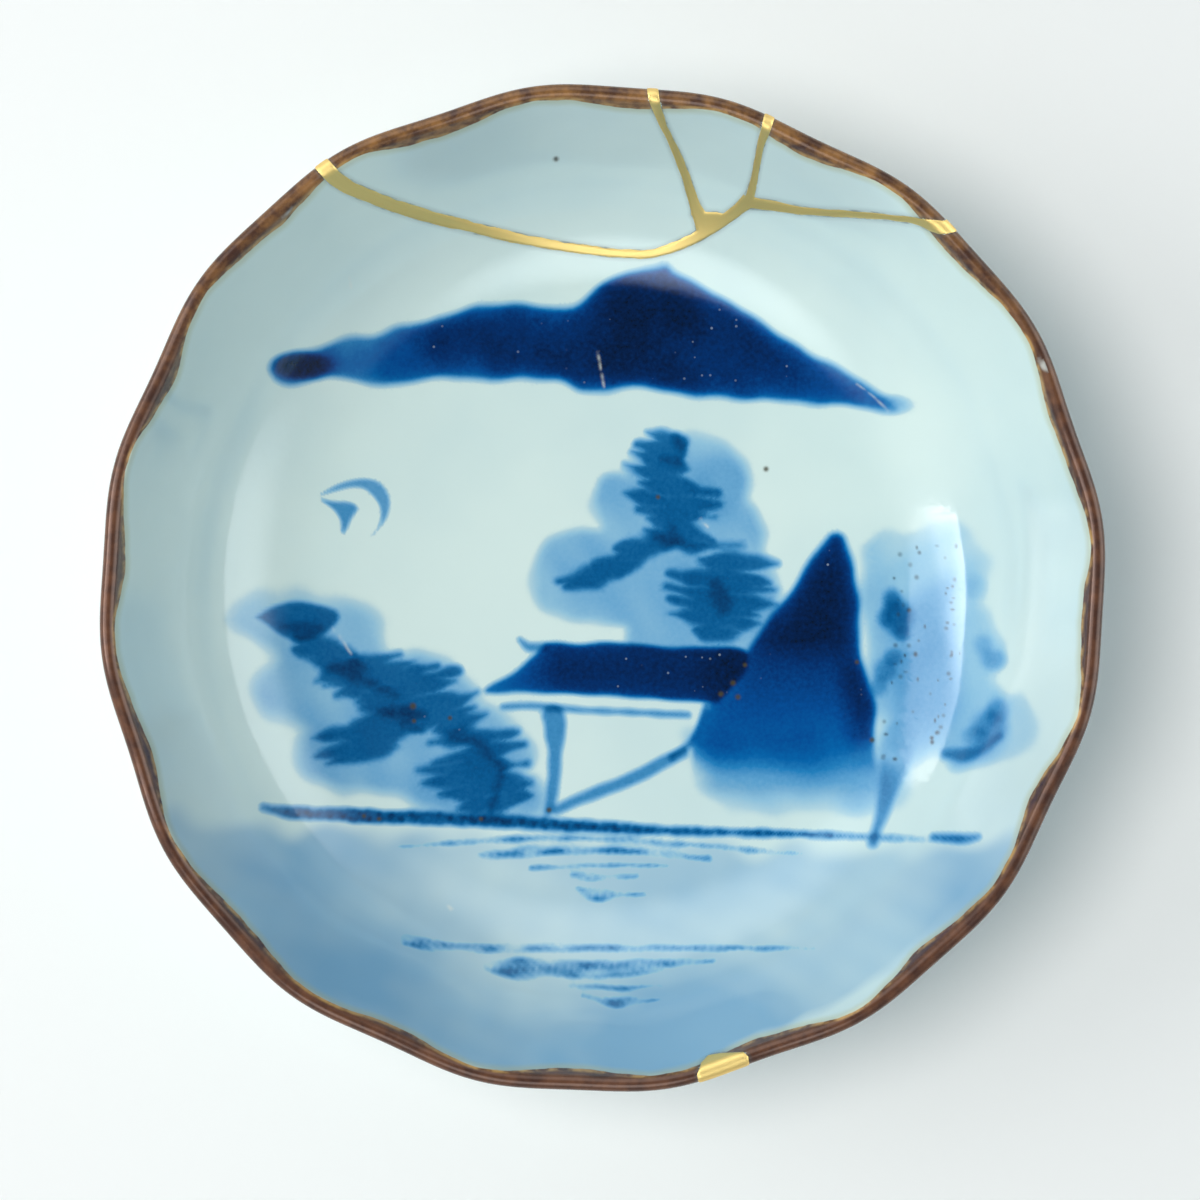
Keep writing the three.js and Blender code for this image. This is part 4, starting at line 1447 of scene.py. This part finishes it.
class BOWL_OT_porcelain(bpy.types.Operator):
    """Make the broken porcelain: the large piece and the three shards of the far rim"""

    bl_idname = "bowl.porcelain"
    bl_label = "Porcelain"

    def execute(self, context):
        scene = context.scene
        bowl = the_bowl(scene)
        material = glazed_porcelain(scene.bowl_glaze)
        points, run, faces = turned_body(bowl.section, bowl.porcelain_target)
        whole = pressed(mesh_of("whole", points, faces, run=run), bowl.section, bowl.form, material)
        overlap = scene.bowl_mend.overlap / MM
        cracks = gold_prisms(-overlap, 0)
        broken = combined(whole, [combined(cracks[0], cracks[1:], "UNION")], "DIFFERENCE")
        blocks = shard_prisms()
        lost = combined(chip_block(-overlap), [block.copy() for block in blocks.values()], "UNION")
        large = combined(broken.copy(), [lost], "DIFFERENCE")
        pieces = {"bowl_body": ("porcelain_bowl", large)}
        for node, block in blocks.items():
            name = node.replace("rim", "porcelain")
            pieces[node] = (name, combined(broken.copy(), [block], "INTERSECT"))
        for node, (name, mesh) in pieces.items():
            bowl.paint_on(mesh)
            mesh.materials.clear()
            mesh.materials.append(material)
            dress(shown(name, mesh), node)
        return {"FINISHED"}


class BOWL_OT_gold(bpy.types.Operator):
    """Make the gold: the seam that joins the pieces, and the fill of the chip"""

    bl_idname = "bowl.gold"
    bl_label = "Gold"

    def execute(self, context):
        scene = context.scene
        bowl, mend = the_bowl(scene), scene.bowl_mend
        material = gold_lacquer(mend)
        points, run, faces = turned_body(bowl.section, bowl.gold_target)
        skin = pressed(mesh_of("skin", points, faces, run=run), bowl.section, bowl.form, material)
        depth = np.clip(-bowl.gap_to_gold(places(skin)) / 0.45, 0, 1)
        write(skin, "bead", np.sqrt(np.clip(2 * depth - depth**2, 0, 1)))
        blocks = gold_prisms(0, mend.wobble / MM)
        plans = {
            "gold_seam": ("gold_seam_bead", combined(blocks[0], blocks[1:], "UNION")),
            "gold_chip_fill": ("gold_chip", chip_block(0)),
        }
        for node, (name, plan) in plans.items():
            tool = shown("plan", plan)
            values = {"Proud": mend.proud, "Plan": tool, "Material": material}
            mesh = run_tree(name, skin.copy(), bead_tree(), values)
            bpy.data.objects.remove(tool)
            mesh.materials.clear()
            mesh.materials.append(material)
            write(mesh, "inset", -bowl.gap_to_gold(places(mesh)))
            dress(shown(name, mesh), node)
        return {"FINISHED"}


class BOWL_OT_stage(bpy.types.Operator):
    """Set the pale floor, the window light from the left and the camera straight above"""

    bl_idname = "bowl.stage"
    bl_label = "Stage"

    def execute(self, context):
        scene = context.scene
        stage = scene.bowl_stage
        floor = bpy.data.meshes.new("floor")
        corners = [(-4, -4, 0), (4, -4, 0), (4, 4, 0), (-4, 4, 0)]
        floor.from_pydata(corners, [], [(0, 1, 2, 3)])
        material, _, shader = fresh_material("matt paper floor")
        feed(shader, {"Base Color": stage.floor, "Roughness": 0.7})
        floor.materials.append(material)
        shown("floor", floor)

        scene.world = studio_sky(stage)
        window_sheet(stage.window)
        for name, (azimuth, height, width) in LAMPS.items():
            lamp = bpy.data.lights.new(name, "AREA")
            lamp.shape = "DISK"
            lamp.size = width
            lamp.energy = getattr(stage, name)
            lamp.color = linear("#fffaf4")[:3]
            soft = bpy.data.objects.new(name, lamp)
            soft.location = at_height(azimuth, height, LAMP_DISTANCE)
            soft.rotation_euler = (-soft.location).to_track_quat("-Z", "Y").to_euler()
            soft.visible_glossy = False
            scene.collection.objects.link(soft)

        lens = bpy.data.cameras.new("above")
        lens.lens, lens.sensor_width = stage.lens, stage.sensor
        camera = bpy.data.objects.new("above", lens)
        camera.location = camera_place(stage) * MM
        scene.collection.objects.link(camera)
        scene.camera = camera
        scene.view_settings.view_transform = "Standard"
        return {"FINISHED"}


class BOWL_PT_panel(bpy.types.Panel):
    """Lists what can be made, in order"""

    bl_idname = "BOWL_PT_panel"
    bl_label = "Mended Bowl"
    bl_space_type = "VIEW_3D"
    bl_region_type = "UI"
    bl_category = "Bowl"

    def draw(self, context):
        for operator in OPERATORS:
            self.layout.operator(operator.bl_idname)


GROUPS = {"bowl_form": BowlForm, "bowl_glaze": GlazeColours, "bowl_mend": MendForm, "bowl_stage": StageForm}
OPERATORS = (BOWL_OT_porcelain, BOWL_OT_gold, BOWL_OT_stage)


def register():
    for cls in (*GROUPS.values(), *OPERATORS, BOWL_PT_panel):
        bpy.utils.register_class(cls)
    for key, group in GROUPS.items():
        setattr(bpy.types.Scene, key, bpy.props.PointerProperty(type=group))


def unregister():
    for key in GROUPS:
        delattr(bpy.types.Scene, key)
    for cls in (BOWL_PT_panel, *OPERATORS, *GROUPS.values()):
        bpy.utils.unregister_class(cls)


def main():
    register()
    bpy.ops.bowl.porcelain()
    bpy.ops.bowl.gold()
    bpy.ops.bowl.stage()
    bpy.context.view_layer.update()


if __name__ == "__main__":
    main()
